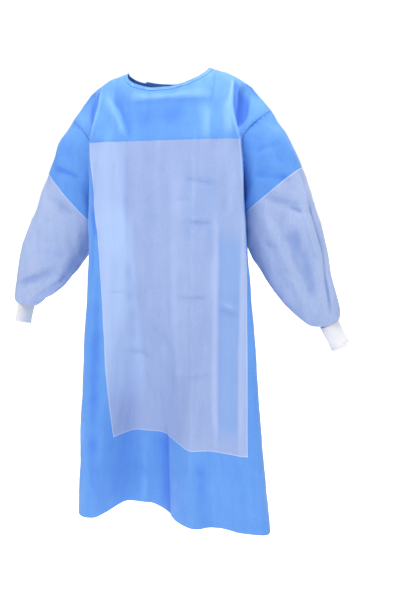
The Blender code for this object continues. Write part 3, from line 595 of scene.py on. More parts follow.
# Creases on the front and back, as seen from the front: from (x1, z1) to (x2, z2), how far the soft
# flanks reach to the right and left of that way, and how deep; a ridge has a negative depth
Crease = namedtuple("Crease", "x1 z1 x2 z2 right left depth")
FRONT_CREASES = (
    Crease(-0.064, -0.079, 0.120, -0.076, 0.013, 0.042, -0.0048),
    Crease(-0.060, -0.124, 0.090, -0.120, 0.050, 0.036, 0.0022),
    Crease(-0.146, -0.062, -0.104, -0.112, 0.034, 0.008, -0.0045),
    Crease(-0.104, -0.112, -0.080, -0.160, 0.030, 0.008, -0.0045),
    Crease(-0.120, -0.080, -0.070, -0.160, 0.012, 0.040, 0.0034),
    Crease(0.122, -0.082, 0.131, -0.176, 0.040, 0.012, -0.0034),
    Crease(0.170, -0.074, 0.184, -0.178, 0.030, 0.012, -0.0036),
    Crease(0.157, -0.400, 0.162, -0.900, 0.024, 0.010, -0.0060),
    Crease(0.216, -0.220, 0.222, -0.900, 0.010, 0.014, -0.0050),
    Crease(0.080, -0.270, 0.150, -0.282, 0.011, 0.009, 0.0032),
    Crease(0.060, -0.318, 0.092, -0.318, 0.009, 0.007, 0.0022),
    Crease(0.094, -0.372, 0.140, -0.374, 0.010, 0.008, 0.0034),
    Crease(0.070, -0.362, 0.138, -0.364, 0.008, 0.008, -0.0022),
    Crease(0.060, -0.556, 0.128, -0.552, 0.010, 0.008, 0.0034),
    Crease(0.172, -0.564, 0.204, -0.576, 0.010, 0.012, -0.0040),
    Crease(0.170, -0.580, 0.204, -0.592, 0.012, 0.008, 0.0036),
    Crease(-0.122, -0.548, -0.084, -0.546, 0.008, 0.006, 0.0022),
    Crease(-0.076, -0.190, -0.066, -0.700, 0.020, 0.030, 0.0042),
    Crease(-0.130, -0.200, -0.128, -0.640, 0.026, 0.026, -0.0042),
    Crease(0.050, -0.240, 0.055, -0.800, 0.030, 0.050, -0.0042),
    Crease(0.098, -0.180, 0.096, -0.930, 0.007, 0.010, -0.0022),
    Crease(-0.020, -0.210, -0.014, -0.520, 0.022, 0.026, 0.0022),
    Crease(-0.165, -0.240, -0.170, -0.520, 0.012, 0.012, 0.0024),
    Crease(-0.160, -0.560, -0.175, -1.100, 0.026, 0.036, 0.0030),
    Crease(0.002, -0.930, 0.014, -1.175, 0.056, 0.014, 0.0070),
    Crease(-0.060, -0.960, -0.070, -1.165, 0.030, 0.026, -0.0030),
    Crease(0.120, -0.980, 0.128, -1.150, 0.030, 0.030, 0.0030),
    Crease(-0.030, -0.620, 0.030, -0.700, 0.024, 0.030, 0.0028),
    Crease(-0.185, -0.330, -0.150, -0.420, 0.018, 0.024, 0.0030),
    Crease(0.176, -0.300, 0.164, -0.370, 0.016, 0.020, 0.0026),
    Crease(-0.100, -0.700, -0.030, -0.730, 0.014, 0.018, 0.0020),
    Crease(0.070, -0.760, 0.150, -0.740, 0.016, 0.012, 0.0020),
)
BACK_CREASES = (
    Crease(-0.100, -0.100, 0.060, -0.094, 0.022, 0.036, -0.0018),
    Crease(0.150, -0.070, 0.096, -0.180, 0.022, 0.030, 0.0040),
    Crease(-0.168, -0.072, -0.120, -0.190, 0.030, 0.022, 0.0036),
    Crease(0.110, -0.250, 0.090, -0.800, 0.034, 0.046, 0.0040),
    Crease(-0.090, -0.220, -0.110, -0.760, 0.040, 0.034, 0.0036),
    Crease(0.020, -0.300, 0.020, -0.880, 0.012, 0.012, -0.0012),
    Crease(-0.180, -0.330, -0.120, -0.400, 0.016, 0.020, 0.0026),
    Crease(0.185, -0.320, 0.130, -0.410, 0.016, 0.020, 0.0024),
    Crease(-0.020, -0.560, 0.060, -0.566, 0.012, 0.009, 0.0014),
    Crease(-0.150, -0.640, -0.080, -0.632, 0.012, 0.009, 0.0014),
    Crease(0.060, -0.420, 0.120, -0.412, 0.010, 0.008, 0.0013),
)

# Creases on the sleeves: side (+1 left), facing (-1 front), then as on the body
SleeveCrease = namedtuple("SleeveCrease", "side facing x1 z1 x2 z2 right left depth")
SLEEVE_CREASES = (
    SleeveCrease(1, -1, 0.286, -0.168, 0.334, -0.244, 0.026, 0.014, -0.0070),
    SleeveCrease(1, -1, 0.236, -0.262, 0.318, -0.268, 0.018, 0.020, 0.0028),
    SleeveCrease(1, -1, 0.262, -0.240, 0.312, -0.250, 0.012, 0.016, -0.0024),
    SleeveCrease(1, -1, 0.240, -0.205, 0.282, -0.190, 0.014, 0.014, 0.0020),
    SleeveCrease(1, -1, 0.334, -0.260, 0.358, -0.332, 0.024, 0.007, -0.0075),
    SleeveCrease(1, -1, 0.256, -0.312, 0.340, -0.334, 0.022, 0.022, 0.0050),
    SleeveCrease(1, -1, 0.320, -0.338, 0.352, -0.350, 0.009, 0.008, 0.0040),
    SleeveCrease(1, -1, 0.262, -0.368, 0.300, -0.445, 0.024, 0.026, -0.0055),
    SleeveCrease(1, -1, 0.300, -0.445, 0.374, -0.588, 0.026, 0.024, -0.0060),
    SleeveCrease(1, -1, 0.322, -0.376, 0.384, -0.552, 0.044, 0.032, 0.0085),
    SleeveCrease(1, -1, 0.350, -0.345, 0.390, -0.466, 0.008, 0.010, -0.0050),
    SleeveCrease(1, -1, 0.362, -0.330, 0.400, -0.440, 0.006, 0.006, 0.0060),
    SleeveCrease(1, -1, 0.400, -0.440, 0.424, -0.584, 0.008, 0.006, 0.0070),
    SleeveCrease(1, -1, 0.250, -0.420, 0.286, -0.440, 0.014, 0.014, 0.0020),
    SleeveCrease(1, -1, 0.318, -0.500, 0.350, -0.520, 0.012, 0.012, 0.0035),
    SleeveCrease(1, 1, 0.250, -0.275, 0.322, -0.246, 0.022, 0.018, 0.0034),
    SleeveCrease(1, 1, 0.246, -0.350, 0.318, -0.322, 0.028, 0.020, 0.0042),
    SleeveCrease(1, 1, 0.270, -0.362, 0.345, -0.480, 0.034, 0.030, -0.0050),
    SleeveCrease(1, 1, 0.345, -0.400, 0.398, -0.540, 0.026, 0.022, 0.0046),
    SleeveCrease(1, 1, 0.300, -0.480, 0.372, -0.590, 0.026, 0.026, -0.0046),
    SleeveCrease(1, 1, 0.318, -0.520, 0.352, -0.500, 0.016, 0.018, 0.0030),
    SleeveCrease(-1, -1, -0.322, -0.510, -0.420, -0.546, 0.018, 0.030, 0.0070),
    SleeveCrease(-1, -1, -0.306, -0.530, -0.398, -0.592, 0.014, 0.016, -0.0075),
    SleeveCrease(-1, -1, -0.340, -0.588, -0.388, -0.612, 0.010, 0.010, 0.0050),
    SleeveCrease(-1, -1, -0.244, -0.362, -0.330, -0.312, 0.024, 0.026, 0.0040),
    SleeveCrease(-1, -1, -0.262, -0.420, -0.360, -0.396, 0.034, 0.034, -0.0036),
    SleeveCrease(-1, -1, -0.350, -0.300, -0.372, -0.420, 0.016, 0.018, -0.0035),
    SleeveCrease(-1, -1, -0.300, -0.470, -0.380, -0.452, 0.026, 0.022, 0.0016),
    SleeveCrease(-1, -1, -0.232, -0.262, -0.300, -0.236, 0.018, 0.016, 0.0045),
    SleeveCrease(-1, 1, -0.246, -0.290, -0.318, -0.262, 0.022, 0.018, 0.0034),
    SleeveCrease(-1, 1, -0.258, -0.382, -0.335, -0.340, 0.030, 0.022, 0.0044),
    SleeveCrease(-1, 1, -0.290, -0.380, -0.352, -0.480, 0.030, 0.034, -0.0048),
    SleeveCrease(-1, 1, -0.372, -0.410, -0.418, -0.530, 0.022, 0.024, 0.0044),
    SleeveCrease(-1, 1, -0.330, -0.535, -0.400, -0.548, 0.020, 0.020, 0.0040),
    SleeveCrease(-1, 1, -0.322, -0.480, -0.400, -0.590, 0.024, 0.024, -0.0044),
)
# A crease tapers over at least this share of its length
CREASE_TAPER = 0.18

# Pressed line along each sleeve, as a share of the way round from the outer edge, front and back, and
# the shares of the sleeve's length where it starts and ends, each with its soft end
PRESSED_LINE = 0.085
PRESSED_WIDE = 0.022
PRESSED_DEPTH = 1.4 * MM
PRESSED_START = 0.04
PRESSED_START_SOFT = 0.10
PRESSED_END = 0.93
PRESSED_END_SOFT = 0.12

# Gathers at the sleeve's end: how many, how far up they run and how high they stand, and how much
# each one may differ from that in place, width, reach, rise and lean
GATHER_COUNT = 26
GATHER_REACH = 0.070
GATHER_RISE = 2.6 * MM
GATHER_PLACES = (-0.32, 0.32)
GATHER_WIDTHS = (0.42, 0.62)
GATHER_REACHES = (0.35, 1.15)
GATHER_RISES = (0.6, 1.1)
GATHER_LEANS = (-0.03, 0.03)
GATHER_SPREAD = 1.4
GATHER_END = 5.0 * MM
GATHER_HEM_SHARE = 0.25
GATHER_PUFF = 0.4
LEFT_SEED = 11
RIGHT_SEED = 23

# Puckers beside the armhole seam: their spacing, reach and depth, the lengths over which the spacing
# and the reach drift, and the narrow flat strip at the seam itself
PUCKER_SPACING = 0.013
PUCKER_REACH = 0.018
PUCKER_DEPTH = 3.0 * MM
# How strongly a pucker's trough adds painted shade to the hollow mark
PUCKER_PAINTED_SHADE = 1.6
PUCKER_LONG_DRIFT = 0.041
PUCKER_SHORT_DRIFT = 0.017
PUCKER_REACH_DRIFT = 0.023
PUCKER_SHARPNESS = 1.5
PUCKER_STRIP = 4.0 * MM

# Columns of the back over which its side edges are drawn to the front's
SEAM_COLUMNS = 14

# Sizes across, deep and up of each kind of soft wrinkle, and how deep it goes
Wrinkle = namedtuple("Wrinkle", "across deep up depth")
WRINKLES = (
    Wrinkle(0.085, 0.085, 0.085, 2.2 * MM),
    Wrinkle(0.036, 0.036, 0.036, 1.2 * MM),
    Wrinkle(0.026, 0.040, 0.150, 1.5 * MM),
    Wrinkle(0.015, 0.015, 0.020, 0.45 * MM),
)
# Shares of the wrinkles on the body and on the sleeves, which take over below the armhole
BODY_WRINKLES = 0.8
SLEEVE_WRINKLES = 1.5
WRINKLE_CHANGE = 0.030

# Creases fade towards the shoulder seam and the neck, and where the cloth turns to the side
SEAM_FADE = 0.026
SIDE_FADE_SLOPE = 1.4
SIDE_FADE_START = 0.1
SLEEVE_FADE_SLOPE = 1.5

# The seam along the sleeve's inner edge: its rise, its half width in columns, and its soft ends as
# shares of the sleeve's length
SEAM_RISE = 1.0 * MM
SEAM_FLAT = 1.6
SEAM_SLOPE = 0.8
SEAM_START = 0.02
SEAM_START_SOFT = 0.06
SEAM_END = 0.97
SEAM_END_SOFT = 0.03

# The wearer's left side wall is pressed in below its top height, about a depth, out from a side place
SIDE_PRESS = 9.0 * MM
SIDE_PRESS_TOP = -0.420
SIDE_PRESS_RISE = 0.200
SIDE_PRESS_Y = 0.060
SIDE_PRESS_DEEP = 0.140
SIDE_PRESS_X = 0.100
SIDE_PRESS_SOFT = 0.060

# The painted shade and painted highlight follow how deep the cloth lies against the cloth round it, averaged
# over some rounds
PAINTED_SHADE_ROUNDS = 30
PAINTED_SHADE_SCALE = 4.5 * MM
PAINTED_SHADE_GROUND = 0.7

# The pressed edge down each front corner, and the valley between it and the armhole: their sizes, the
# heights over which they grow, and the edge's shift outwards above the chest
EDGE_REACH = 0.010
EDGE_RISE = 2.2 * MM
VALLEY_WIDE = 0.070
VALLEY_START = CHEST_Z - 0.010
VALLEY_GROWTH = 0.075
VALLEY_FLANK = 0.007
VALLEY_OUTER_FLANK = 0.014
VALLEY_DEPTH = 6.5 * MM
CORNER_GROWTH = 0.080
CORNER_SHIFT = 0.019
CORNER_SHIFT_GROWTH = 0.050
CORNER_FADE = 0.050
CORNER_CLEAR = 0.2
RIGHT_CORNER_SHARE = 0.55

# Rings about the wearer's right sleeve seam whose fronts are lifted, and each one's share of the lift
SEAM_LIFT = 0.012
RingLift = namedtuple("RingLift", "ring share")
RING_LIFTS = (
    RingLift(SEAM_RING, 0.4),
    RingLift(SEAM_RING + 1, 1.0),
    RingLift(SEAM_RING + 2, 0.8),
    RingLift(SEAM_RING + 3, 0.5),
    RingLift(SEAM_RING + 4, 0.2),
)


def soft_steps(values):
    values = np.clip(values, 0.0, 1.0)
    return values * values * (3.0 - 2.0 * values)


def crease_depth(grid, crease):
    """How deep a crease presses each point of a grid, seen from the front."""
    flat = grid[..., [0, 2]] - np.array([crease.x1, crease.z1])
    way = np.array([crease.x2 - crease.x1, crease.z2 - crease.z1])
    length = np.linalg.norm(way)
    along = flat @ way / length
    across = (flat[..., 0] * way[1] - flat[..., 1] * way[0]) / length
    reach = np.where(across > 0.0, crease.right, crease.left)
    taper = max(crease.right, crease.left, CREASE_TAPER * length)
    ends = soft_steps((length / 2 + taper - np.abs(along - length / 2)) / (2.0 * taper))
    return crease.depth * soft_steps(1.0 - np.abs(across) / reach) * ends


def wrinkle_depth(grid):
    """Uneven soft wrinkles of a few sizes, the same on both sides of every seam."""
    flat = grid.reshape(-1, 3)
    total = np.zeros(len(flat))
    for wrinkle in WRINKLES:
        sizes = np.array(wrinkle[:3])
        total += wrinkle.depth * np.array([noise.noise(Vector(point / sizes)) for point in flat])
    return total.reshape(grid.shape[:-1])


def corner_depth(grid):
    """The sharp pressed edge down each front corner, and the valley outside it beside the armhole."""
    total = np.zeros(grid.shape[:2])
    heights = grid[:, 0, 2]
    rise = soft_steps((heights - UNDERARM_Z) / CORNER_GROWTH)[:, None]
    rise = rise * soft_steps(ring_distances(grid, True) / CORNER_FADE - CORNER_CLEAR)
    shift = CORNER_SHIFT * soft_steps((heights - CHEST_Z) / CORNER_SHIFT_GROWTH)[:, None]
    wide = VALLEY_WIDE * soft_steps((grid[..., 2] - VALLEY_START) / VALLEY_GROWTH)
    left_corner = grid.shape[1] - 1 - SIDE_COLUMNS
    for column, outside, share in ((SIDE_COLUMNS, -1, RIGHT_CORNER_SHARE), (left_corner, 1, 1.0)):
        steps = np.linalg.norm(np.diff(grid, axis=1), axis=2)
        along = np.hstack([np.zeros((grid.shape[0], 1)), np.cumsum(steps, axis=1)])
        across = (along - along[:, column:column + 1]) * outside + shift
        edge = soft_steps(1.0 - np.abs(across) / EDGE_REACH)
        valley = soft_steps(across / VALLEY_FLANK) * soft_steps((wide - across) / VALLEY_OUTER_FLANK)
        total += share * rise * (VALLEY_DEPTH * valley - EDGE_RISE * edge)
    return total


def seam_fade(grid):
    """0 at the shoulder seam and the neck edge, 1 away from them."""
    return soft_steps(ring_distances(grid, True) / SEAM_FADE)


def side_press(grid):
    """The wearer's left side wall drawn in a little between the front corner and the back."""
    low = soft_steps((SIDE_PRESS_TOP - grid[..., 2]) / SIDE_PRESS_RISE)
    near = soft_steps(1.0 - np.abs(grid[..., 1] - SIDE_PRESS_Y) / SIDE_PRESS_DEEP)
    outside = soft_steps((grid[..., 0] - SIDE_PRESS_X) / SIDE_PRESS_SOFT)
    return SIDE_PRESS * low * near * outside


def averaged(field, closed):
    """A grid of values with each one averaged with its neighbours."""
    if closed:
        wide = np.concatenate([field[:, -1:], field, field[:, :1]], axis=1)
    else:
        before = 2 * field[:, :1] - field[:, 1:2]
        after = 2 * field[:, -1:] - field[:, -2:-1]
        wide = np.concatenate([before, field, after], axis=1)
    field = (wide[:, :-2] + 2 * wide[:, 1:-1] + wide[:, 2:]) / 4
    tall = np.concatenate([2 * field[:1] - field[1:2], field, 2 * field[-1:] - field[-2:-1]])
    return (tall[:-2] + 2 * tall[1:-1] + tall[2:]) / 4


def painted_shade_and_highlight(depths, closed):
    """How deep each point lies below its surroundings, as the mark for painted shade and painted highlight:
    1 in a full hollow, -1 on a full ridge.
    """
    soft = depths
    for _ in range(PAINTED_SHADE_ROUNDS):
        soft = averaged(soft, closed)
    return np.clip((depths - PAINTED_SHADE_GROUND * soft) / PAINTED_SHADE_SCALE, -1.0, 1.0)


def interpolate_rings(rings, steps):
    """Fine rings through the given ones, on smooth curves."""
    rings = np.array(rings)
    padded = np.concatenate([[2 * rings[0] - rings[1]], rings, [2 * rings[-1] - rings[-2]]])
    fine = []
    for index in range(len(rings) - 1):
        before, start, end, after = padded[index:index + 4]
        for step in range(steps):
            fine.append(hermite(start, (end - before) / 2, end, (after - start) / 2, step / steps))
    fine.append(rings[-1])
    return np.array(fine)


def shell(name, grid, normals, thickness, lift, material, closed=False, raised=None, marks=None):
    """A thin closed shell from a grid of outer points, with its flat measure in metres as UVs.

    The marks are named values for each point, for the material to read.
    """
    outer = grid + normals * lift
    inner = grid + normals * (lift - thickness)
    if raised is not None:
        outer = outer + normals * raised[:, :, None]
    rows, columns = grid.shape[:2]
    count = rows * columns
    spans = columns if closed else columns - 1
    numbers = np.arange(count).reshape(rows, columns)
    after = np.roll(numbers, -1, axis=1)[:, :spans]
    here = numbers[:, :spans]
    quads = np.stack([here[:-1], after[:-1], after[1:], here[1:]], axis=-1).reshape(-1, 4)
    low = np.stack([here[0] + count, after[0] + count, after[0], here[0]], axis=-1)
    high = np.stack([here[-1], after[-1], after[-1] + count, here[-1] + count], axis=-1)
    faces = [quads, quads[:, ::-1] + count, low, high]
    if not closed:
        first = numbers[:, 0]
        last = numbers[:, -1]
        faces.append(np.stack([first[:-1] + count, first[:-1], first[1:], first[1:] + count], axis=-1))
        faces.append(np.stack([last[:-1], last[:-1] + count, last[1:] + count, last[1:]], axis=-1))
    faces = np.concatenate(faces)
    data = bpy.data.meshes.new(name)
    points = np.concatenate([outer.reshape(-1, 3), inner.reshape(-1, 3)])
    data.from_pydata(points.tolist(), [], faces.tolist())
    middle_row = grid[rows // 2]
    if closed:
        middle_row = np.vstack([middle_row, middle_row[:1]])
    wide = np.concatenate([[0.0], np.cumsum(np.linalg.norm(np.diff(middle_row, axis=0), axis=1))])
    middle_column = grid[:, columns // 2]
    tall = np.concatenate([[0.0], np.cumsum(np.linalg.norm(np.diff(middle_column, axis=0), axis=1))])
    corner_points = faces.reshape(-1) % count
    corner_columns = corner_points % columns
    corner_rows = corner_points // columns
    if closed:
        by_face = corner_columns.reshape(-1, 4)
        seam_face = (by_face.max(axis=1) - by_face.min(axis=1)) > 1
        by_face = np.where(seam_face[:, None] & (by_face == 0), columns, by_face)
        corner_columns = by_face.reshape(-1)
    layer = data.uv_layers.new(name="flat")
    flat = np.stack([wide[corner_columns], tall[corner_rows]], axis=-1)
    layer.data.foreach_set("uv", flat.astype(np.float32).ravel())
    for mark, values in (marks or {}).items():
        layer = data.attributes.new(mark, "FLOAT", "POINT")
        layer.data.foreach_set("value", np.tile(values.astype(np.float32).ravel(), 2))
    data.materials.append(material)
    data.shade_smooth()
    data.set_sharp_from_angle(angle=SHARP_ANGLE)
    thing = bpy.data.objects.new(name, data)
    bpy.context.scene.collection.objects.link(thing)
    return thing


class Number:
    """A shader value whose sums and products become nodes."""

    def __init__(self, graph, socket):
        self.graph = graph
        self.socket = socket

    def __add__(self, other):
        return self.graph.math("ADD", self, other)

    __radd__ = __add__

    def __sub__(self, other):
        return self.graph.math("SUBTRACT", self, other)

    def __rsub__(self, other):
        return self.graph.math("SUBTRACT", other, self)

    def __mul__(self, other):
        return self.graph.math("MULTIPLY", self, other)

    __rmul__ = __mul__


class Graph:
    """A material's nodes."""

    def __init__(self, name, roughness):
        self.material = bpy.data.materials.new(name)
        self.material.use_nodes = True
        self.tree = self.material.node_tree
        self.shader = self.tree.nodes["Principled BSDF"]
        self.shader.inputs["Metallic"].default_value = 0.0
        self.shader.inputs["Roughness"].default_value = roughness

    def node(self, kind, settings, values):
        node = self.tree.nodes.new(kind)
        for name, value in settings.items():
            setattr(node, name, value)
        for name, value in values.items():
            self.put(node.inputs[name], value)
        return node

    def put(self, socket, value):
        if isinstance(value, Number):
            self.tree.links.new(value.socket, socket)
        else:
            socket.default_value = value

    def math(self, operation, first, second=0.0):
        node = self.node("ShaderNodeMath", {"operation": operation}, {0: first, 1: second})
        return Number(self, node.outputs[0])

    def number(self, node, output):
        return Number(self, node.outputs[output])

    def step(self, value, low, high):
        """0 below low, 1 above high, smooth between."""
        settings = {"interpolation_type": "SMOOTHSTEP"}
        node = self.node("ShaderNodeMapRange", settings, {"Value": value, "From Min": low, "From Max": high})
        return self.number(node, "Result")

    def coordinates(self, kind):
        return self.number(self.node("ShaderNodeTexCoord", {}, {}), kind)

    def parts(self, vector):
        node = self.node("ShaderNodeSeparateXYZ", {}, {"Vector": vector})
        return self.number(node, "X"), self.number(node, "Y"), self.number(node, "Z")

    def noise(self, vector, scale, detail):
        node = self.node("ShaderNodeTexNoise", {}, {"Vector": vector, "Scale": scale, "Detail": detail})
        return self.number(node, "Fac")

    def mark(self, name):
        """A piece's own value at each point, 0 where the piece has none."""
        return self.number(self.node("ShaderNodeAttribute", {"attribute_name": name}, {}), "Fac")

    def stretch(self, vector, scales):
        node = self.node("ShaderNodeMapping", {}, {"Vector": vector, "Scale": scales})
        return self.number(node, "Vector")

    def mix(self, factor, first, second):
        node = self.node("ShaderNodeMix", {"data_type": "RGBA"}, {0: factor, 6: first, 7: second})
        return Number(self, node.outputs[2])

    def bump(self, height, distance):
        values = {"Height": height, "Distance": distance, "Strength": 1.0}
        return self.number(self.node("ShaderNodeBump", {}, values), "Normal")


# Colours of a cloth: its mottled ground from deep to pale, painted shade in a hollow, painted highlight on a
# ridge, and, on laminate, along a sealed edge, and the painted light and painted shade of its bands,
# streaked unevenly
Tones = namedtuple("Tones", "deep pale hollow ridge sealed light_band deep_band")
SEAL_WIDE = 3.0 * MM
# How far the painted shade of a hollow and the painted highlight of a ridge go into the base colour
PAINTED_SHADE_SHARE = 0.75
PAINTED_HIGHLIGHT_SHARE = 0.60


def nonwoven(name, tones, roughness, dot_pitch, dot_depth):
    """Bonded fibre cloth: cloudy colour, fine crossing fibres and a field of small bond points, with painted
    shade and painted highlight from the hollow mark, and on laminate painted light and shade in bands.
    """
    graph = Graph(name, roughness)
    where = graph.coordinates("Object")
    flat_u, flat_v, _ = graph.parts(graph.coordinates("UV"))
    clouds = graph.noise(where, 9.0, 2.0)
    mottle = graph.noise(graph.stretch(where, (1.0, 1.0, 0.6)), 260.0, 3.0)
    streaks = graph.noise(graph.stretch(where, (1.0, 1.0, 0.16)), 60.0, 2.0)
    fibres = graph.noise(graph.stretch(where, (1.0, 1.0, 0.12)), 1500.0, 2.0)
    turn_u = (flat_u + flat_v) * (2.0 * math.pi / dot_pitch)
    turn_v = (flat_u - flat_v) * (2.0 * math.pi / dot_pitch)
    dots = graph.step(graph.math("SINE", turn_u) * graph.math("SINE", turn_v), 0.35, 0.8)
    shade = 0.30 * clouds + 0.20 * streaks + 0.30 * mottle + 0.2 * fibres - 0.10 * dots
    colour = graph.mix(graph.step(shade, 0.28, 0.68), tones.deep, tones.pale)
    # On laminate the band mark paints light and shade on the panel's facets, and the streaks add uneven tone
    if tones.sealed:
        band = graph.mark("band") + 0.5 * streaks - 0.25
        colour = graph.mix(graph.step(band, 0.0, 1.0), colour, tones.light_band)
        colour = graph.mix(graph.step(0.0 - band, 0.0, 1.0), colour, tones.deep_band)
    # The hollow mark mixes painted shade into creases and puckers and a painted highlight onto ridges
    hollow = graph.mark("hollow")
    colour = graph.mix(PAINTED_SHADE_SHARE * graph.step(hollow, 0.0, 1.0), colour, tones.hollow)
    colour = graph.mix(PAINTED_HIGHLIGHT_SHARE * graph.step(0.0 - hollow, 0.0, 1.0), colour, tones.ridge)
    if tones.sealed:
        inset = graph.mark("inset")
        sealed = graph.step(inset, SEAL_WIDE, 0.6 * SEAL_WIDE)
        colour = graph.mix(0.8 * sealed, colour, tones.sealed)
    graph.put(graph.shader.inputs["Base Color"], colour)
    graph.put(graph.shader.inputs["Roughness"], roughness - 0.08 * dots + 0.06 * mottle)
    graph.shader.inputs["Specular IOR Level"].default_value = 0.35
    graph.shader.inputs["Sheen Weight"].default_value = 0.10
    graph.shader.inputs["Sheen Roughness"].default_value = 0.5
    height = 0.5 * fibres + 0.5 * mottle - dots
    graph.put(graph.shader.inputs["Normal"], graph.bump(height, dot_depth))
    return graph.material


def plain_cloth(name, deep, pale, roughness, scale, depth):
    """Close knit or tape: mottled colour over a fine grain."""
    graph = Graph(name, roughness)
    where = graph.coordinates("Object")
    clouds = graph.noise(where, 14.0, 2.0)
    grain = graph.noise(where, scale, 2.0)
    colour = graph.mix(graph.step(0.5 * clouds + 0.5 * grain, 0.3, 0.7), deep, pale)
    graph.put(graph.shader.inputs["Base Color"], colour)
    graph.put(graph.shader.inputs["Roughness"], roughness + 0.08 * grain)
    graph.shader.inputs["Sheen Weight"].default_value = 0.2
    graph.put(graph.shader.inputs["Normal"], graph.bump(grain, depth))
    return graph.material


def edge_puckers(grid, column, rows):
    """Small puckers beside the armhole seam of a body piece, fading into the cloth."""
    depths = np.zeros(grid.shape[:2])
    edge = grid[rows, column]
    along = np.concatenate([[0.0], np.cumsum(np.linalg.norm(np.diff(edge, axis=0), axis=1))])
    inward = 1 if column == 0 else -1
    strip = grid[rows, ::inward] if inward < 0 else grid[rows]
    steps = np.linalg.norm(np.diff(strip, axis=1), axis=2)
    away = np.concatenate([np.zeros((len(edge), 1)), np.cumsum(steps, axis=1)], axis=1)
    depth = pucker_field(along[:, None], away)
    depths[rows] = depth[:, ::inward] if inward < 0 else depth
    return depths


def pucker_field(along, away):
    """Depth beside a gathered seam: a narrow trough at the seam, and waves along it."""
    uneven = 0.7 * np.sin(along / PUCKER_LONG_DRIFT) + 0.5 * np.sin(along / PUCKER_SHORT_DRIFT + 1.0)
    wave = 0.5 + 0.5 * np.cos(2.0 * math.pi * along / PUCKER_SPACING + uneven)
    reach = PUCKER_REACH * (0.6 + 0.4 * np.sin(along / PUCKER_REACH_DRIFT))
    fade = np.clip(1.0 - away / reach, 0.0, 1.0) ** 2
    strip = 0.25 + 0.75 * soft_steps(away / PUCKER_STRIP)
    return PUCKER_DEPTH * (wave ** PUCKER_SHARPNESS * fade * strip)


def shell_normals(grid):
    """Normals of a body grid, squared at the shoulder seams too."""
    normals = body_normals(grid, LOW_ROWS + PANEL_ROWS + 1)
    shoulder = SIDE_COLUMNS + SHOULDER_COLUMNS
    for columns in (slice(0, shoulder + 1), slice(grid.shape[1] - shoulder - 1, grid.shape[1])):
        level_in_plane(normals, (-1, columns), (0.0, 1.0, 0.0))
    return normals


def dress_body(facing, creases):
    """The fine front or back surface with its creases and wrinkles pressed in, and its mark for painted
    shade and painted highlight.
    """
    grid = body_half(facing)
    seam_rows = LOW_ROWS + PANEL_ROWS + 1
    normals = body_normals(grid, seam_rows)
    depths = np.zeros(grid.shape[:2])
    for crease in creases:
        depths = depths + crease_depth(grid, crease)
    level = normals[..., 1] / np.hypot(normals[..., 0], normals[..., 1])
    depths = depths * seam_fade(grid) * soft_steps(SIDE_FADE_SLOPE * facing * level - SIDE_FADE_START)
    depths = depths + BODY_WRINKLES * wrinkle_depth(grid)
    corners = corner_depth(grid) if facing < 0 else 0.0
    depths = depths + corners
    rows = slice(seam_rows - 1, grid.shape[0])
    puckers = edge_puckers(grid, 0, rows) + edge_puckers(grid, grid.shape[1] - 1, rows)
    # Painted shade in creases, pucker troughs and the valley beside each armhole, whose depth counts twice
    # here, and painted highlight on ridges and the pressed corner edges
    hollow = np.minimum(painted_shade_and_highlight(depths + corners, False) + PUCKER_PAINTED_SHADE * puckers / PUCKER_DEPTH, 1.0)
    depths = depths + puckers
    depths = depths + side_press(grid)
    grid = grid - normals * depths[:, :, None]
    return grid, hollow


def declare(piece, node):
    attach(piece, "root")
    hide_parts(node)


def raise_lap(grid, shoulder):
    """The inner back's neck edge stands a little higher than the outer back's."""
    for column in range(shoulder + 1, grid.shape[1]):
        way = grid[-1, column] - grid[-1 - WAY_ROWS, column]
        way /= np.linalg.norm(way)
        share = smooth_step((column - shoulder) / NECK_COLUMNS)
        for row in range(LAP_ROWS):
            grid[-1 - row, column] += way * NECK_LAP_RISE * share * smooth_step((LAP_ROWS - row) / LAP_ROWS)


def meet_seam(back, front):
    """Draws the back's side edges to the front's, so that both side seams close along their length."""
    rows = LOW_ROWS + PANEL_ROWS + 1
    gap = np.array([0.0, SEWN_GAP, 0.0])
    for edge, step, other in ((0, 1, -1), (-1, -1, 0)):
        shift = front[:rows, other] + gap - back[:rows, edge]
        for place in range(SEAM_COLUMNS):
            back[:rows, edge + step * place] += shift * (1.0 - smooth_step(place / SEAM_COLUMNS))


def dress_backs(front):
    """Both backs as grid, normals and mark for painted shade and highlight by node, the right one lifted
    where it wraps over.
    """
    whole, hollow = dress_body(1, BACK_CREASES)
    meet_seam(whole, front)
    normals = shell_normals(whole)
    columns = whole.shape[1]
    middle = (columns - 1) // 2
    lifts = np.zeros(columns)
    lifts[middle - WRAP_COLUMNS:middle + WRAP_COLUMNS + 1] = WRAP_LIFT
    ramp = np.arange(middle + WRAP_COLUMNS + 1, middle + NECK_COLUMNS)
    lifts[ramp] = WRAP_LIFT * soft_steps((middle + NECK_COLUMNS - ramp) / (NECK_COLUMNS - WRAP_COLUMNS))
    pieces = {}
    for name, cut, lift in (("back_left", slice(0, middle + WRAP_COLUMNS + 1), 0.0),
                            ("back_right", slice(middle - WRAP_COLUMNS, columns), 1.0)):
        grid = whole[:, cut] + normals[:, cut] * (lifts[cut] * lift)[None, :, None]
        if name == "back_left":
            raise_lap(grid, SIDE_COLUMNS + SHOULDER_COLUMNS)
        pieces[name] = (grid, normals[:, cut], hollow[:, cut])
    return pieces


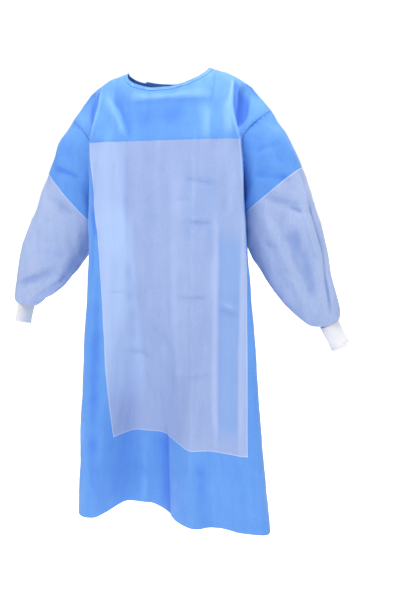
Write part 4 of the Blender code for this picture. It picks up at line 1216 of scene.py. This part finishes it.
def dress_sleeve(side, rings, cuff, front, back):
    """Fine rings of a sleeve from the armhole to the cuff, creased and gathered, its mark for painted shade
    and highlight, and the seam's row.
    """
    columns = SLEEVE_COLUMNS
    loops = [armhole_ring(front, back, side)]
    for ring in rings:
        loops.append(sleeve_ring(ring, side, columns))
    loops.append(cuff_loop(cuff, side, -SEAM_GAP, columns))
    if side < 0:
        raise_seam(loops)
    loops.insert(1, (loops[0] + loops[1]) / 2)
    loops[0] = shift_ring(loops[0], loops[1], 2 * SEAM_GAP)
    grid = interpolate_rings(loops, RING_STEPS)
    normals = grid_normals(grid, True, side < 0)
    away = ring_distances(grid, False)
    more = (SLEEVE_WRINKLES - BODY_WRINKLES) * soft_steps(away / WRINKLE_CHANGE)
    depths = wrinkle_depth(grid) * (BODY_WRINKLES + more)
    for crease in SLEEVE_CREASES:
        if crease.side == side:
            facing = soft_steps(0.5 + SLEEVE_FADE_SLOPE * crease.facing * normals[..., 1])
            depths = depths + crease_depth(grid, crease) * facing
    puckers = seam_puckers(grid)
    depths = depths + gather_depth(grid, side) + pressed_line(grid)
    # Painted shade in the sleeve's creases, gathers and pucker troughs, painted highlight on its ridges and
    # pressed lines
    hollow = np.minimum(painted_shade_and_highlight(depths, True) + PUCKER_PAINTED_SHADE * puckers / PUCKER_DEPTH, 1.0)
    # The seam along the sleeve's inner edge takes the full hollow tone: painted shade along it
    seam = underarm_seam(grid)
    hollow = np.maximum(hollow, seam)
    depths = depths + puckers
    grid = grid - normals * (depths - SEAM_RISE * seam)[:, :, None]
    return grid, grid_normals(grid, True, side < 0), hollow, (SEAM_RING + 2) * RING_STEPS


def underarm_seam(grid):
    """1 on the seam along the sleeve's inner edge, 0 away from it."""
    around = np.abs(np.arange(grid.shape[1]) - grid.shape[1] // 2)
    ends = np.linspace(0.0, 1.0, grid.shape[0])
    fade = soft_steps((ends - SEAM_START) / SEAM_START_SOFT) * soft_steps((SEAM_END - ends) / SEAM_END_SOFT)
    return soft_steps(SEAM_FLAT - SEAM_SLOPE * around)[None, :] * fade[:, None]


def raise_seam(loops):
    """Lifts the front of the rings about the sleeve's seam, so that the seam looks straight there."""
    for index, share in RING_LIFTS:
        loop = loops[index]
        middle = loop.mean(axis=0)
        reach = np.abs(loop[:, 1] - middle[1]).max()
        front = soft_steps((middle[1] - loop[:, 1]) / reach)
        up = loops[index - 1].mean(axis=0) - middle
        up /= np.linalg.norm(up)
        loops[index] = loop + up * (SEAM_LIFT * share * front)[:, None]


def panel_inset(grid):
    """How far each point of the panel lies from its sides and its bottom edge."""
    steps = np.linalg.norm(np.diff(grid, axis=1), axis=2)
    from_right = np.hstack([np.zeros((grid.shape[0], 1)), np.cumsum(steps, axis=1)])
    from_left = from_right[:, -1:] - from_right
    return np.minimum(np.minimum(from_right, from_left), ring_distances(grid, False))


def panel_painted_light_and_shade(grid):
    """The panel's bands of painted light and painted shade."""
    total = np.zeros(grid.shape[:2])
    for field in PANEL_LIGHT_AND_SHADE_FIELDS:
        across = soft_steps(0.5 + (field.wide - np.abs(grid[..., 0] - field.x)) / field.soft)
        up = soft_steps(0.5 + (field.tall - np.abs(grid[..., 2] - field.z)) / FIELD_SOFT_UP)
        total += field.band * across * up
    return total


def ring_distances(grid, from_end):
    """How far each ring lies from the first or the last ring, along each column."""
    steps = np.linalg.norm(np.diff(grid, axis=0), axis=2)
    if from_end:
        tail = np.cumsum(steps[::-1], axis=0)[::-1]
        return np.vstack([tail, np.zeros((1, grid.shape[1]))])
    return np.vstack([np.zeros((1, grid.shape[1])), np.cumsum(steps, axis=0)])


def gather_depth(grid, side):
    """Uneven gathers that run up the sleeve from the cuff."""
    away = ring_distances(grid, True)
    around = np.arange(grid.shape[1]) / grid.shape[1]
    chance = np.random.default_rng(LEFT_SEED if side > 0 else RIGHT_SEED)
    total = np.zeros(grid.shape[:2])
    for index in range(GATHER_COUNT):
        place = (index + chance.uniform(*GATHER_PLACES)) / GATHER_COUNT
        wide = chance.uniform(*GATHER_WIDTHS) / GATHER_COUNT
        reach = GATHER_REACH * chance.uniform(*GATHER_REACHES)
        rise = GATHER_RISE * chance.uniform(*GATHER_RISES)
        lean = chance.uniform(*GATHER_LEANS)
        offset = around[None, :] - place - lean * away / GATHER_REACH
        offset = np.abs((offset + 0.5) % 1.0 - 0.5)
        spread = wide * (1.0 + GATHER_SPREAD * away / GATHER_REACH)
        fade = soft_steps(1.0 - away / reach) * soft_steps(away / GATHER_END + GATHER_HEM_SHARE)
        total -= rise * soft_steps(1.0 - offset / spread) * fade
    return total + GATHER_PUFF * GATHER_RISE * soft_steps(1.0 - away / GATHER_REACH)


def seam_puckers(grid):
    """Puckers of a sleeve beside its armhole seam."""
    away = ring_distances(grid, False)
    first = np.vstack([grid[0], grid[0][:1]])
    along = np.concatenate([[0.0], np.cumsum(np.linalg.norm(np.diff(first, axis=0), axis=1))])[:-1]
    return pucker_field(along[None, :], away)


def pressed_line(grid):
    """The line pressed beside the sleeve's outer edge, front and back."""
    around = np.arange(grid.shape[1]) / grid.shape[1]
    rows = np.linspace(0.0, 1.0, grid.shape[0])
    fade = soft_steps((rows - PRESSED_START) / PRESSED_START_SOFT)
    fade = fade * soft_steps((PRESSED_END - rows) / PRESSED_END_SOFT)
    total = np.zeros(grid.shape[:2])
    for place in (PRESSED_LINE, 1.0 - PRESSED_LINE):
        ridge = soft_steps(1.0 - np.abs(around - place) / PRESSED_WIDE)
        total -= PRESSED_DEPTH * ridge[None, :] * fade[:, None]
    return total


# The rib knit: columns and rise of each rib, how round it is, and its loops, one course over some rows
RIB_COLUMNS = 8
RIB_RISE = 0.9 * MM
RIB_ROUND = 0.7
RIB_BASE = 0.5 * MM
COURSE_ROWS = 3.0
COURSE_SLANT = 1.4
COURSE_RISE = 0.22 * MM

# The cuff draws in at mid length, and ends in a thicker hem with a stitched groove above it
CUFF_WAIST = 0.8 * MM
HEM_RISE = 0.5 * MM
HEM_MIDDLE = 3.0 * MM
GROOVE_DEPTH = 0.7 * MM
GROOVE_PLACE = 7.5 * MM
GROOVE_HALF = 1.4 * MM

# Rounds of smoothing for the ways up and out of the neck's edge
RISE_ROUNDS = 5
OUT_ROUNDS = 3

# The binding's bulge below and its roll above, and the share of its width where they meet
BAND_FOLD = 0.72
BAND_BULGE = 0.35 * MM
BAND_ROLL = 0.50 * MM

# Stitches of the binding: their ends above the cloth's edge, slant, spacing and margins at both ends
STITCH_LOW = 1.0 * MM
STITCH_HIGH = 6.4 * MM
STITCH_SLANT = 0.9 * MM
STITCH_SPACING = 2.6 * MM
STITCH_START = 1.5 * MM
STITCH_END = 2.0 * MM
THREAD_RADIUS = 0.28 * MM
THREAD_SIDES = 6

# A stitch bends up out of the cloth and back in: heights are in thread radii
ThreadStation = namedtuple("ThreadStation", "share height")
THREAD_STATIONS = (
    ThreadStation(0.00, -0.90),
    ThreadStation(0.12, 0.35),
    ThreadStation(0.50, 0.80),
    ThreadStation(0.88, 0.35),
    ThreadStation(1.00, -0.90),
)


def dress_cuff(cuff, side):
    """Rib knit: rounded ribs with a loop for each course."""
    columns = CUFF_RIBS * RIB_COLUMNS
    length = cuff_frame(cuff, side)[4]
    loops = [cuff_loop(cuff, side, length * row / CUFF_ROWS, columns) for row in range(CUFF_ROWS + 1)]
    grid = np.array(loops)
    normals = grid_normals(grid, True, side < 0)
    across = np.arange(columns) / RIB_COLUMNS
    rows = np.arange(CUFF_ROWS + 1)[:, None]
    rib = np.abs(np.sin(math.pi * across))[None, :]
    slant = np.abs((across % 1.0) - 0.5)[None, :]
    course = 0.5 + 0.5 * np.cos(2.0 * math.pi * (rows / COURSE_ROWS + COURSE_SLANT * slant))
    raised = RIB_RISE * rib ** RIB_ROUND - RIB_BASE + COURSE_RISE * course * rib
    waist = CUFF_WAIST * np.sin(math.pi * rows / CUFF_ROWS)
    from_end = length * (CUFF_ROWS - rows) / CUFF_ROWS
    hem = HEM_RISE * soft_steps(1.0 - np.abs(from_end - HEM_MIDDLE) / HEM_MIDDLE)
    groove = GROOVE_DEPTH * soft_steps(1.0 - np.abs(from_end - GROOVE_PLACE) / GROOVE_HALF)
    return grid, normals, raised - waist + hem - groove


def neck_stations(front, front_normals, backs):
    """Points of the neck edges, the way up and the way out, from the inner back round to the outer."""
    shoulder = SIDE_COLUMNS + SHOULDER_COLUMNS
    left_grid, left_normals, _ = backs["back_left"]
    right_grid, right_normals, _ = backs["back_right"]
    last = front.shape[1] - 1 - shoulder
    stations = []
    for column in range(left_grid.shape[1] - 1, shoulder, -1):
        stations.append((left_grid[-1, column], left_grid[-1 - WAY_ROWS, column], left_normals[-1, column]))
    stations.append(((left_grid[-1, shoulder] + front[-1, last]) / 2, left_grid[-1, shoulder - FINE_COLUMNS],
                     left_normals[-1, shoulder]))
    for column in range(last - 1, shoulder, -1):
        stations.append((front[-1, column], front[-1 - WAY_ROWS, column], front_normals[-1, column]))
    neck = right_grid.shape[1] - 1 - shoulder
    stations.append(((right_grid[-1, neck] + front[-1, shoulder]) / 2, right_grid[-1, neck + FINE_COLUMNS],
                     right_normals[-1, neck]))
    for column in range(neck - 1, -1, -1):
        below = right_grid[-1 - WAY_ROWS, column]
        stations.append((right_grid[-1, column], below, right_normals[-1, column]))
    edges = np.array([station[0] for station in stations])
    rises = []
    for index, (edge, below, normal) in enumerate(stations):
        along = edges[min(index + 1, len(edges) - 1)] - edges[max(index - 1, 0)]
        along /= np.linalg.norm(along)
        rise = edge - below
        rise -= along * (rise @ along)
        rises.append(rise / np.linalg.norm(rise))
    rises = smoothed(np.array(rises), RISE_ROUNDS)
    outwards = []
    for index, (edge, below, normal) in enumerate(stations):
        along = edges[min(index + 1, len(edges) - 1)] - edges[max(index - 1, 0)]
        outward = np.cross(along, rises[index])
        outward /= np.linalg.norm(outward)
        outwards.append(-outward if outward @ normal < 0.0 else outward)
    return edges, rises, smoothed(np.array(outwards), OUT_ROUNDS)


def smoothed(vectors, rounds):
    """Unit vectors along a line, each averaged with its neighbours over some rounds."""
    for _ in range(rounds):
        inner = (vectors[:-2] + 2 * vectors[1:-1] + vectors[2:]) / 4
        vectors = np.vstack([vectors[:1], inner, vectors[-1:]])
    return vectors / np.linalg.norm(vectors, axis=1)[:, None]


def dress_tab(backs):
    """The tab: the outer back's end strip, carried on past its edge and down to the inner back."""
    grid, normals, _ = backs["back_right"]
    base = 2 * FINE_COLUMNS
    rows = slice(grid.shape[0] - 1 - TAB_HEIGHT_ROWS, grid.shape[0])
    part = grid[rows, base::-1]
    part_normals = normals[rows, base::-1]
    half = FINE_COLUMNS
    first = part[:, half] - part[:, 0]
    second = part[:, base] - part[:, half]
    first_length = np.linalg.norm(first, axis=1)[:, None]
    second_length = np.linalg.norm(second, axis=1)[:, None]
    way = second / second_length
    bend = (way - first / first_length) / ((first_length + second_length) / 2)
    more = []
    more_normals = []
    for share in np.linspace(0.0, 1.0, TAB_STEPS + 1)[1:]:
        distance = TAB_OVER * share
        drop = (WRAP_LIFT - SHELL) * smooth_step(share / TAB_DROP_SHARE)
        turning = part_normals[:, base] - part_normals[:, half]
        turned = part_normals[:, base] + turning * distance / second_length
        turned /= np.linalg.norm(turned, axis=1)[:, None]
        middle_way = way * distance + bend * distance * (distance + second_length) / 2
        more.append(part[:, base] + middle_way - turned * drop)
        more_normals.append(turned)
    part = np.concatenate([part, np.stack(more, axis=1)], axis=1)
    part_normals = np.concatenate([part_normals, np.stack(more_normals, axis=1)], axis=1)
    return part[:, ::-1], part_normals[:, ::-1]


def threads(name, segments, radius, material):
    """Short stitches as bent tubes: each segment is a start, an end and the way out of the cloth."""
    points = []
    faces = []
    sides = THREAD_SIDES
    stations = THREAD_STATIONS
    for start, end, outward in segments:
        way = end - start
        side = np.cross(way, outward)
        side /= np.linalg.norm(side)
        for index, (share, height) in enumerate(stations):
            middle = start + way * share + outward * height * radius
            for corner in range(sides):
                angle = 2.0 * math.pi * corner / sides
                points.append(middle + radius * (side * math.cos(angle) + outward * math.sin(angle)))
        base = len(points) - sides * len(stations)
        for ring in range(len(stations) - 1):
            for corner in range(sides):
                after = (corner + 1) % sides
                low = base + ring * sides
                faces.append((low + corner, low + after, low + sides + after, low + sides + corner))
        faces.append(tuple(base + corner for corner in range(sides))[::-1])
        faces.append(tuple(base + sides * (len(stations) - 1) + corner for corner in range(sides)))
    data = bpy.data.meshes.new(name)
    data.from_pydata([tuple(point) for point in points], [], faces)
    data.materials.append(material)
    data.shade_smooth()
    thing = bpy.data.objects.new(name, data)
    bpy.context.scene.collection.objects.link(thing)
    bpy.context.view_layer.objects.active = thing
    thing.select_set(True)
    bpy.ops.object.mode_set(mode="EDIT")
    bpy.ops.mesh.select_all(action="SELECT")
    bpy.ops.mesh.normals_make_consistent(inside=False)
    bpy.ops.object.mode_set(mode="OBJECT")
    thing.select_set(False)
    return thing


def resample_like(points, values, distances):
    """Unit vectors given at points of a line, taken at distances along it."""
    steps = np.linalg.norm(np.diff(points, axis=0), axis=1)
    along = np.concatenate(([0.0], np.cumsum(steps)))
    found = np.stack([np.interp(distances, along, values[:, axis]) for axis in range(3)], axis=1)
    return found / np.linalg.norm(found, axis=1)[:, None]


# Each cloth's hollow tone is painted shade and its ridge tone painted highlight; on the laminates the light
# and deep bands are painted light and painted shade, mixed with streaks
BODY_TONES = Tones(
    deep=(0.080, 0.256, 0.700, 1.0), pale=(0.120, 0.318, 0.760, 1.0),
    hollow=(0.036, 0.158, 0.700, 1.0), ridge=(0.240, 0.470, 0.850, 1.0),
    sealed=None, light_band=None, deep_band=None)
PANEL_TONES = Tones(
    deep=(0.244, 0.334, 0.590, 1.0), pale=(0.318, 0.408, 0.680, 1.0),
    hollow=(0.200, 0.300, 0.600, 1.0), ridge=(0.390, 0.490, 0.780, 1.0),
    sealed=(0.450, 0.560, 0.820, 1.0),
    light_band=(0.350, 0.485, 0.780, 1.0), deep_band=(0.205, 0.345, 0.680, 1.0))
SLEEVE_TONES = Tones(
    deep=(0.265, 0.355, 0.600, 1.0), pale=(0.375, 0.460, 0.700, 1.0),
    hollow=(0.180, 0.275, 0.560, 1.0), ridge=(0.460, 0.570, 0.820, 1.0),
    sealed=(0.500, 0.600, 0.860, 1.0),
    light_band=(0.370, 0.510, 0.860, 1.0), deep_band=(0.225, 0.375, 0.750, 1.0))
CUFF_DEEP = (0.660, 0.660, 0.700, 1.0)
CUFF_PALE = (0.800, 0.800, 0.830, 1.0)
TAB_DEEP = (0.060, 0.170, 0.520, 1.0)
TAB_PALE = (0.100, 0.240, 0.620, 1.0)
THREAD_PALE = (0.260, 0.480, 0.900, 1.0)

# Fields of painted light and painted shade on the panel's facets between its pressed folds: middle and half
# size, soft edge, and how light (+) or deep (-)
FIELD_SOFT_UP = 0.12
Field = namedtuple("Field", "x z wide tall soft band")
PANEL_LIGHT_AND_SHADE_FIELDS = (
    Field(-0.150, -0.290, 0.076, 0.130, 0.030, 0.60),
    Field(-0.150, -0.610, 0.098, 0.240, 0.034, 0.68),
    Field(0.190, -0.650, 0.030, 0.260, 0.022, -0.70),
    Field(0.200, -0.290, 0.040, 0.110, 0.030, 0.30),
    Field(0.120, -0.330, 0.050, 0.090, 0.040, -0.30),
    Field(0.228, -0.620, 0.010, 0.420, 0.008, 0.50),
)


def build_front(front, normals, hollow, materials):
    """The front body."""
    piece = shell("gown_front", front, normals, SHELL, 0.0, materials["body"], marks={"hollow": hollow})
    declare(piece, "front")


def build_panel(front, normals, hollow, materials):
    """The reinforced panel, made from the front's points and moved out."""
    rows = slice(LOW_ROWS, LOW_ROWS + PANEL_ROWS + CHEST_ROWS + 1)
    inside = slice(SIDE_COLUMNS, front.shape[1] - SIDE_COLUMNS)
    panel = front[rows, inside]
    # The band mark carries the panel's painted light and painted shade, the hollow mark its painted shade
    # and highlight
    marks = {"hollow": hollow[rows, inside], "inset": panel_inset(panel), "band": panel_painted_light_and_shade(panel)}
    piece = shell("gown_front_panel", panel, normals[rows, inside], PANEL_SHELL, SEAM_GAP + PANEL_SHELL,
                  materials["panel"], marks=marks)
    declare(piece, "front_panel")


def build_back(name, grid, normals, hollow, materials):
    """One back."""
    piece = shell("gown_" + name, grid, normals, SHELL, 0.0, materials["body"], marks={"hollow": hollow})
    declare(piece, name)


def build_sleeve(side, label, rings, cuff, front, back, materials):
    """One sleeve, cut at its slanting colour seam into the upper and the reinforced lower piece."""
    grid, normals, hollow, seam = dress_sleeve(side, rings, cuff, front, back)
    upper = grid[:seam + 1].copy()
    lower = grid[seam:].copy()
    upper[-1] = shift_ring(upper[-1], upper[-2], SEAM_GAP / 2)
    lower[0] = shift_ring(lower[0], lower[1], SEAM_GAP / 2)
    piece = shell("gown_upper_sleeve_" + label, upper, normals[:seam + 1], SHELL, 0.0, materials["body"],
                  closed=True, marks={"hollow": hollow[:seam + 1]})
    declare(piece, "upper_sleeve_" + label)
    marks = {"hollow": hollow[seam:], "inset": ring_distances(lower, False)}
    piece = shell("gown_lower_sleeve_" + label, lower, normals[seam:], SHELL, 0.0, materials["sleeve"],
                  closed=True, marks=marks)
    declare(piece, "lower_sleeve_" + label)


def build_cuff(side, label, cuff, materials):
    """One knitted cuff."""
    grid, normals, raised = dress_cuff(cuff, side)
    piece = shell("gown_cuff_" + label, grid, normals, KNIT, 0.0, materials["cuff"],
                  closed=True, raised=raised)
    declare(piece, "cuff_" + label)


def build_stitches(edges, rises, outwards, material):
    """The slanting stitches that hold the binding to the neck's edge."""
    lift = outwards * (BAND_CLOTH - SHELL) / 2
    low_line = edges + rises * STITCH_LOW + lift
    high_line = edges + rises * STITCH_HIGH + lift
    segments = []
    for place in np.arange(STITCH_START, length_along(low_line) - STITCH_END, STITCH_SPACING):
        start = resample(low_line, np.array([place]))[0]
        end = resample(high_line, np.array([place + STITCH_SLANT]))[0]
        outward = resample_like(low_line, outwards, np.array([place]))[0]
        segments.append((start, end, outward))
    stitches = threads("gown_neck_stitches", segments, THREAD_RADIUS, material)
    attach(stitches, "root")
    return stitches


def build_binding(front, normals, backs, materials):
    """The folded strip round the neck's edge, with its stitches."""
    edges, rises, outwards = neck_stations(front, normals, backs)
    heights = np.linspace(SEAM_GAP, BAND_WIDTH, BAND_ROWS + 1)
    grid = edges[None] + rises[None] * heights[:, None, None]
    share = (heights - heights[0]) / (heights[-1] - heights[0])
    bulge = BAND_BULGE * np.sin(math.pi * np.clip(share / BAND_FOLD, 0.0, 1.0))
    roll = BAND_ROLL * np.sin(math.pi * np.clip((share - BAND_FOLD) / (1.0 - BAND_FOLD), 0.0, 1.0))
    raised = np.repeat((bulge + roll)[:, None], grid.shape[1], axis=1)
    piece = shell("gown_neck_binding", grid, np.repeat(outwards[None], BAND_ROWS + 1, axis=0), BAND_CLOTH,
                  (BAND_CLOTH - SHELL) / 2, materials["band"], raised=raised)
    stitches = build_stitches(edges, rises, outwards, materials["thread"])
    declare(piece, "neck_binding")


def build_tab(backs, materials):
    """The hook-and-loop tab that closes the backs at the neck."""
    grid, normals = dress_tab(backs)
    piece = shell("gown_neck_tab", grid, normals, TAB_CLOTH, SEAM_GAP + TAB_CLOTH, materials["tab"])
    declare(piece, "neck_tab")


materials = {
    "body": nonwoven("body_nonwoven", BODY_TONES, 0.66, 2.6 * MM, 0.10 * MM),
    "panel": nonwoven("reinforced_laminate", PANEL_TONES, 0.70, 3.4 * MM, 0.08 * MM),
    "sleeve": nonwoven("sleeve_laminate", SLEEVE_TONES, 0.70, 3.4 * MM, 0.08 * MM),
    "cuff": plain_cloth("cuff_knit", CUFF_DEEP, CUFF_PALE, 0.84, 2200.0, 0.15 * MM),
    "tab": plain_cloth("hook_and_loop", TAB_DEEP, TAB_PALE, 0.80, 1400.0, 0.40 * MM),
    "band": nonwoven("binding_tape", BODY_TONES, 0.66, 2.0 * MM, 0.10 * MM),
    "thread": plain_cloth("sewing_thread", THREAD_PALE, THREAD_PALE, 0.70, 4000.0, 0.02 * MM),
}

# The front's hollow mark carries its painted shade and painted highlight
front, front_shade_and_highlight = dress_body(-1, FRONT_CREASES)
front_normals = shell_normals(front)
backs = dress_backs(front)
build_front(front, front_normals, front_shade_and_highlight, materials)
build_panel(front, front_normals, front_shade_and_highlight, materials)
for name in ("back_left", "back_right"):
    build_back(name, *backs[name], materials)
for side, label, rings, cuff in ((1, "left", LEFT_RINGS, LEFT_CUFF), (-1, "right", RIGHT_RINGS, RIGHT_CUFF)):
    build_sleeve(side, label, rings, cuff, front, backs["back_" + label][0], materials)
    build_cuff(side, label, cuff, materials)
build_binding(front, front_normals, backs, materials)
build_tab(backs, materials)


# The studio: brightness of the light around the gown, and of the white ground as the camera sees it
AMBIENT = 0.50
BACKDROP = 1.02
FLOOR_GLOW = 0.62
FLOOR_Z = -1.47
Light = namedtuple("Light", "name place target size power")
LIGHTS = (
    Light("key_light", (-0.8, -1.9, 2.3), (0.0, 0.0, -0.4), 0.9, 54.0),
    Light("top_light", (0.3, 0.1, 1.5), (0.0, -0.05, -0.1), 0.9, 26.0),
    Light("fill_light", (2.2, -1.6, 1.6), (0.0, 0.0, -0.5), 1.2, 20.0),
)

# The photo's camera: where it stands, which way it looks, and its focal length in the photo's pixels
CAMERA_PLACE = (0.4635, -1.4266, -0.33)
HEADING = math.radians(14.9)
PITCH = math.radians(9.74)
FOCAL_PIXELS = 562.0
PHOTO_HEIGHT = 601.0
SENSOR = 36.0


def soft_light(light):
    """One round area light, aimed at its target."""
    data = bpy.data.lights.new(light.name, "AREA")
    data.shape = "DISK"
    data.size = light.size
    data.energy = light.power
    lamp = bpy.data.objects.new(light.name, data)
    lamp.location = light.place
    lamp.rotation_euler = (Vector(light.target) - Vector(light.place)).to_track_quat("-Z", "Y").to_euler()
    bpy.context.scene.collection.objects.link(lamp)


def light_world():
    """A white world, brighter to the camera than to the cloth."""
    world = bpy.data.worlds.new("studio")
    world.use_nodes = True
    tree = world.node_tree
    background = tree.nodes["Background"]
    background.inputs["Color"].default_value = (1.0, 1.0, 1.0, 1.0)
    path_kind = tree.nodes.new("ShaderNodeLightPath")
    brightness = tree.nodes.new("ShaderNodeMath")
    brightness.operation = "MULTIPLY_ADD"
    brightness.inputs[1].default_value = BACKDROP - AMBIENT
    brightness.inputs[2].default_value = AMBIENT
    tree.links.new(path_kind.outputs["Is Camera Ray"], brightness.inputs[0])
    tree.links.new(brightness.outputs[0], background.inputs["Strength"])
    bpy.context.scene.world = world
    bpy.context.scene.view_settings.view_transform = "Standard"


def lay_floor():
    """A pale floor that looks white to the camera and lights the cloth softly."""
    bpy.ops.mesh.primitive_plane_add(size=60.0, location=(0.0, 0.0, FLOOR_Z))
    floor = bpy.context.object
    floor.name = "studio_floor"
    material = bpy.data.materials.new("pale_floor")
    material.use_nodes = True
    tree = material.node_tree
    shader = tree.nodes["Principled BSDF"]
    shader.inputs["Base Color"].default_value = (0.95, 0.95, 0.95, 1.0)
    shader.inputs["Roughness"].default_value = 0.9
    path_kind = tree.nodes.new("ShaderNodeLightPath")
    glow = tree.nodes.new("ShaderNodeMix")
    glow.data_type = "RGBA"
    glow.inputs[6].default_value = (FLOOR_GLOW, FLOOR_GLOW, FLOOR_GLOW, 1.0)
    glow.inputs[7].default_value = (1.0, 1.0, 1.0, 1.0)
    tree.links.new(path_kind.outputs["Is Camera Ray"], glow.inputs[0])
    tree.links.new(glow.outputs[2], shader.inputs["Emission Color"])
    shader.inputs["Emission Strength"].default_value = 1.0
    floor.data.materials.append(material)


def place_camera():
    """The camera of the photo."""
    data = bpy.data.cameras.new("camera")
    data.lens = FOCAL_PIXELS / PHOTO_HEIGHT * SENSOR
    data.sensor_width = SENSOR
    data.sensor_fit = "AUTO"
    camera = bpy.data.objects.new("camera", data)
    camera.location = CAMERA_PLACE
    camera.rotation_euler = (math.radians(90.0) - PITCH, 0.0, HEADING)
    bpy.context.scene.collection.objects.link(camera)
    bpy.context.scene.camera = camera


for light in LIGHTS:
    soft_light(light)
light_world()
lay_floor()
place_camera()
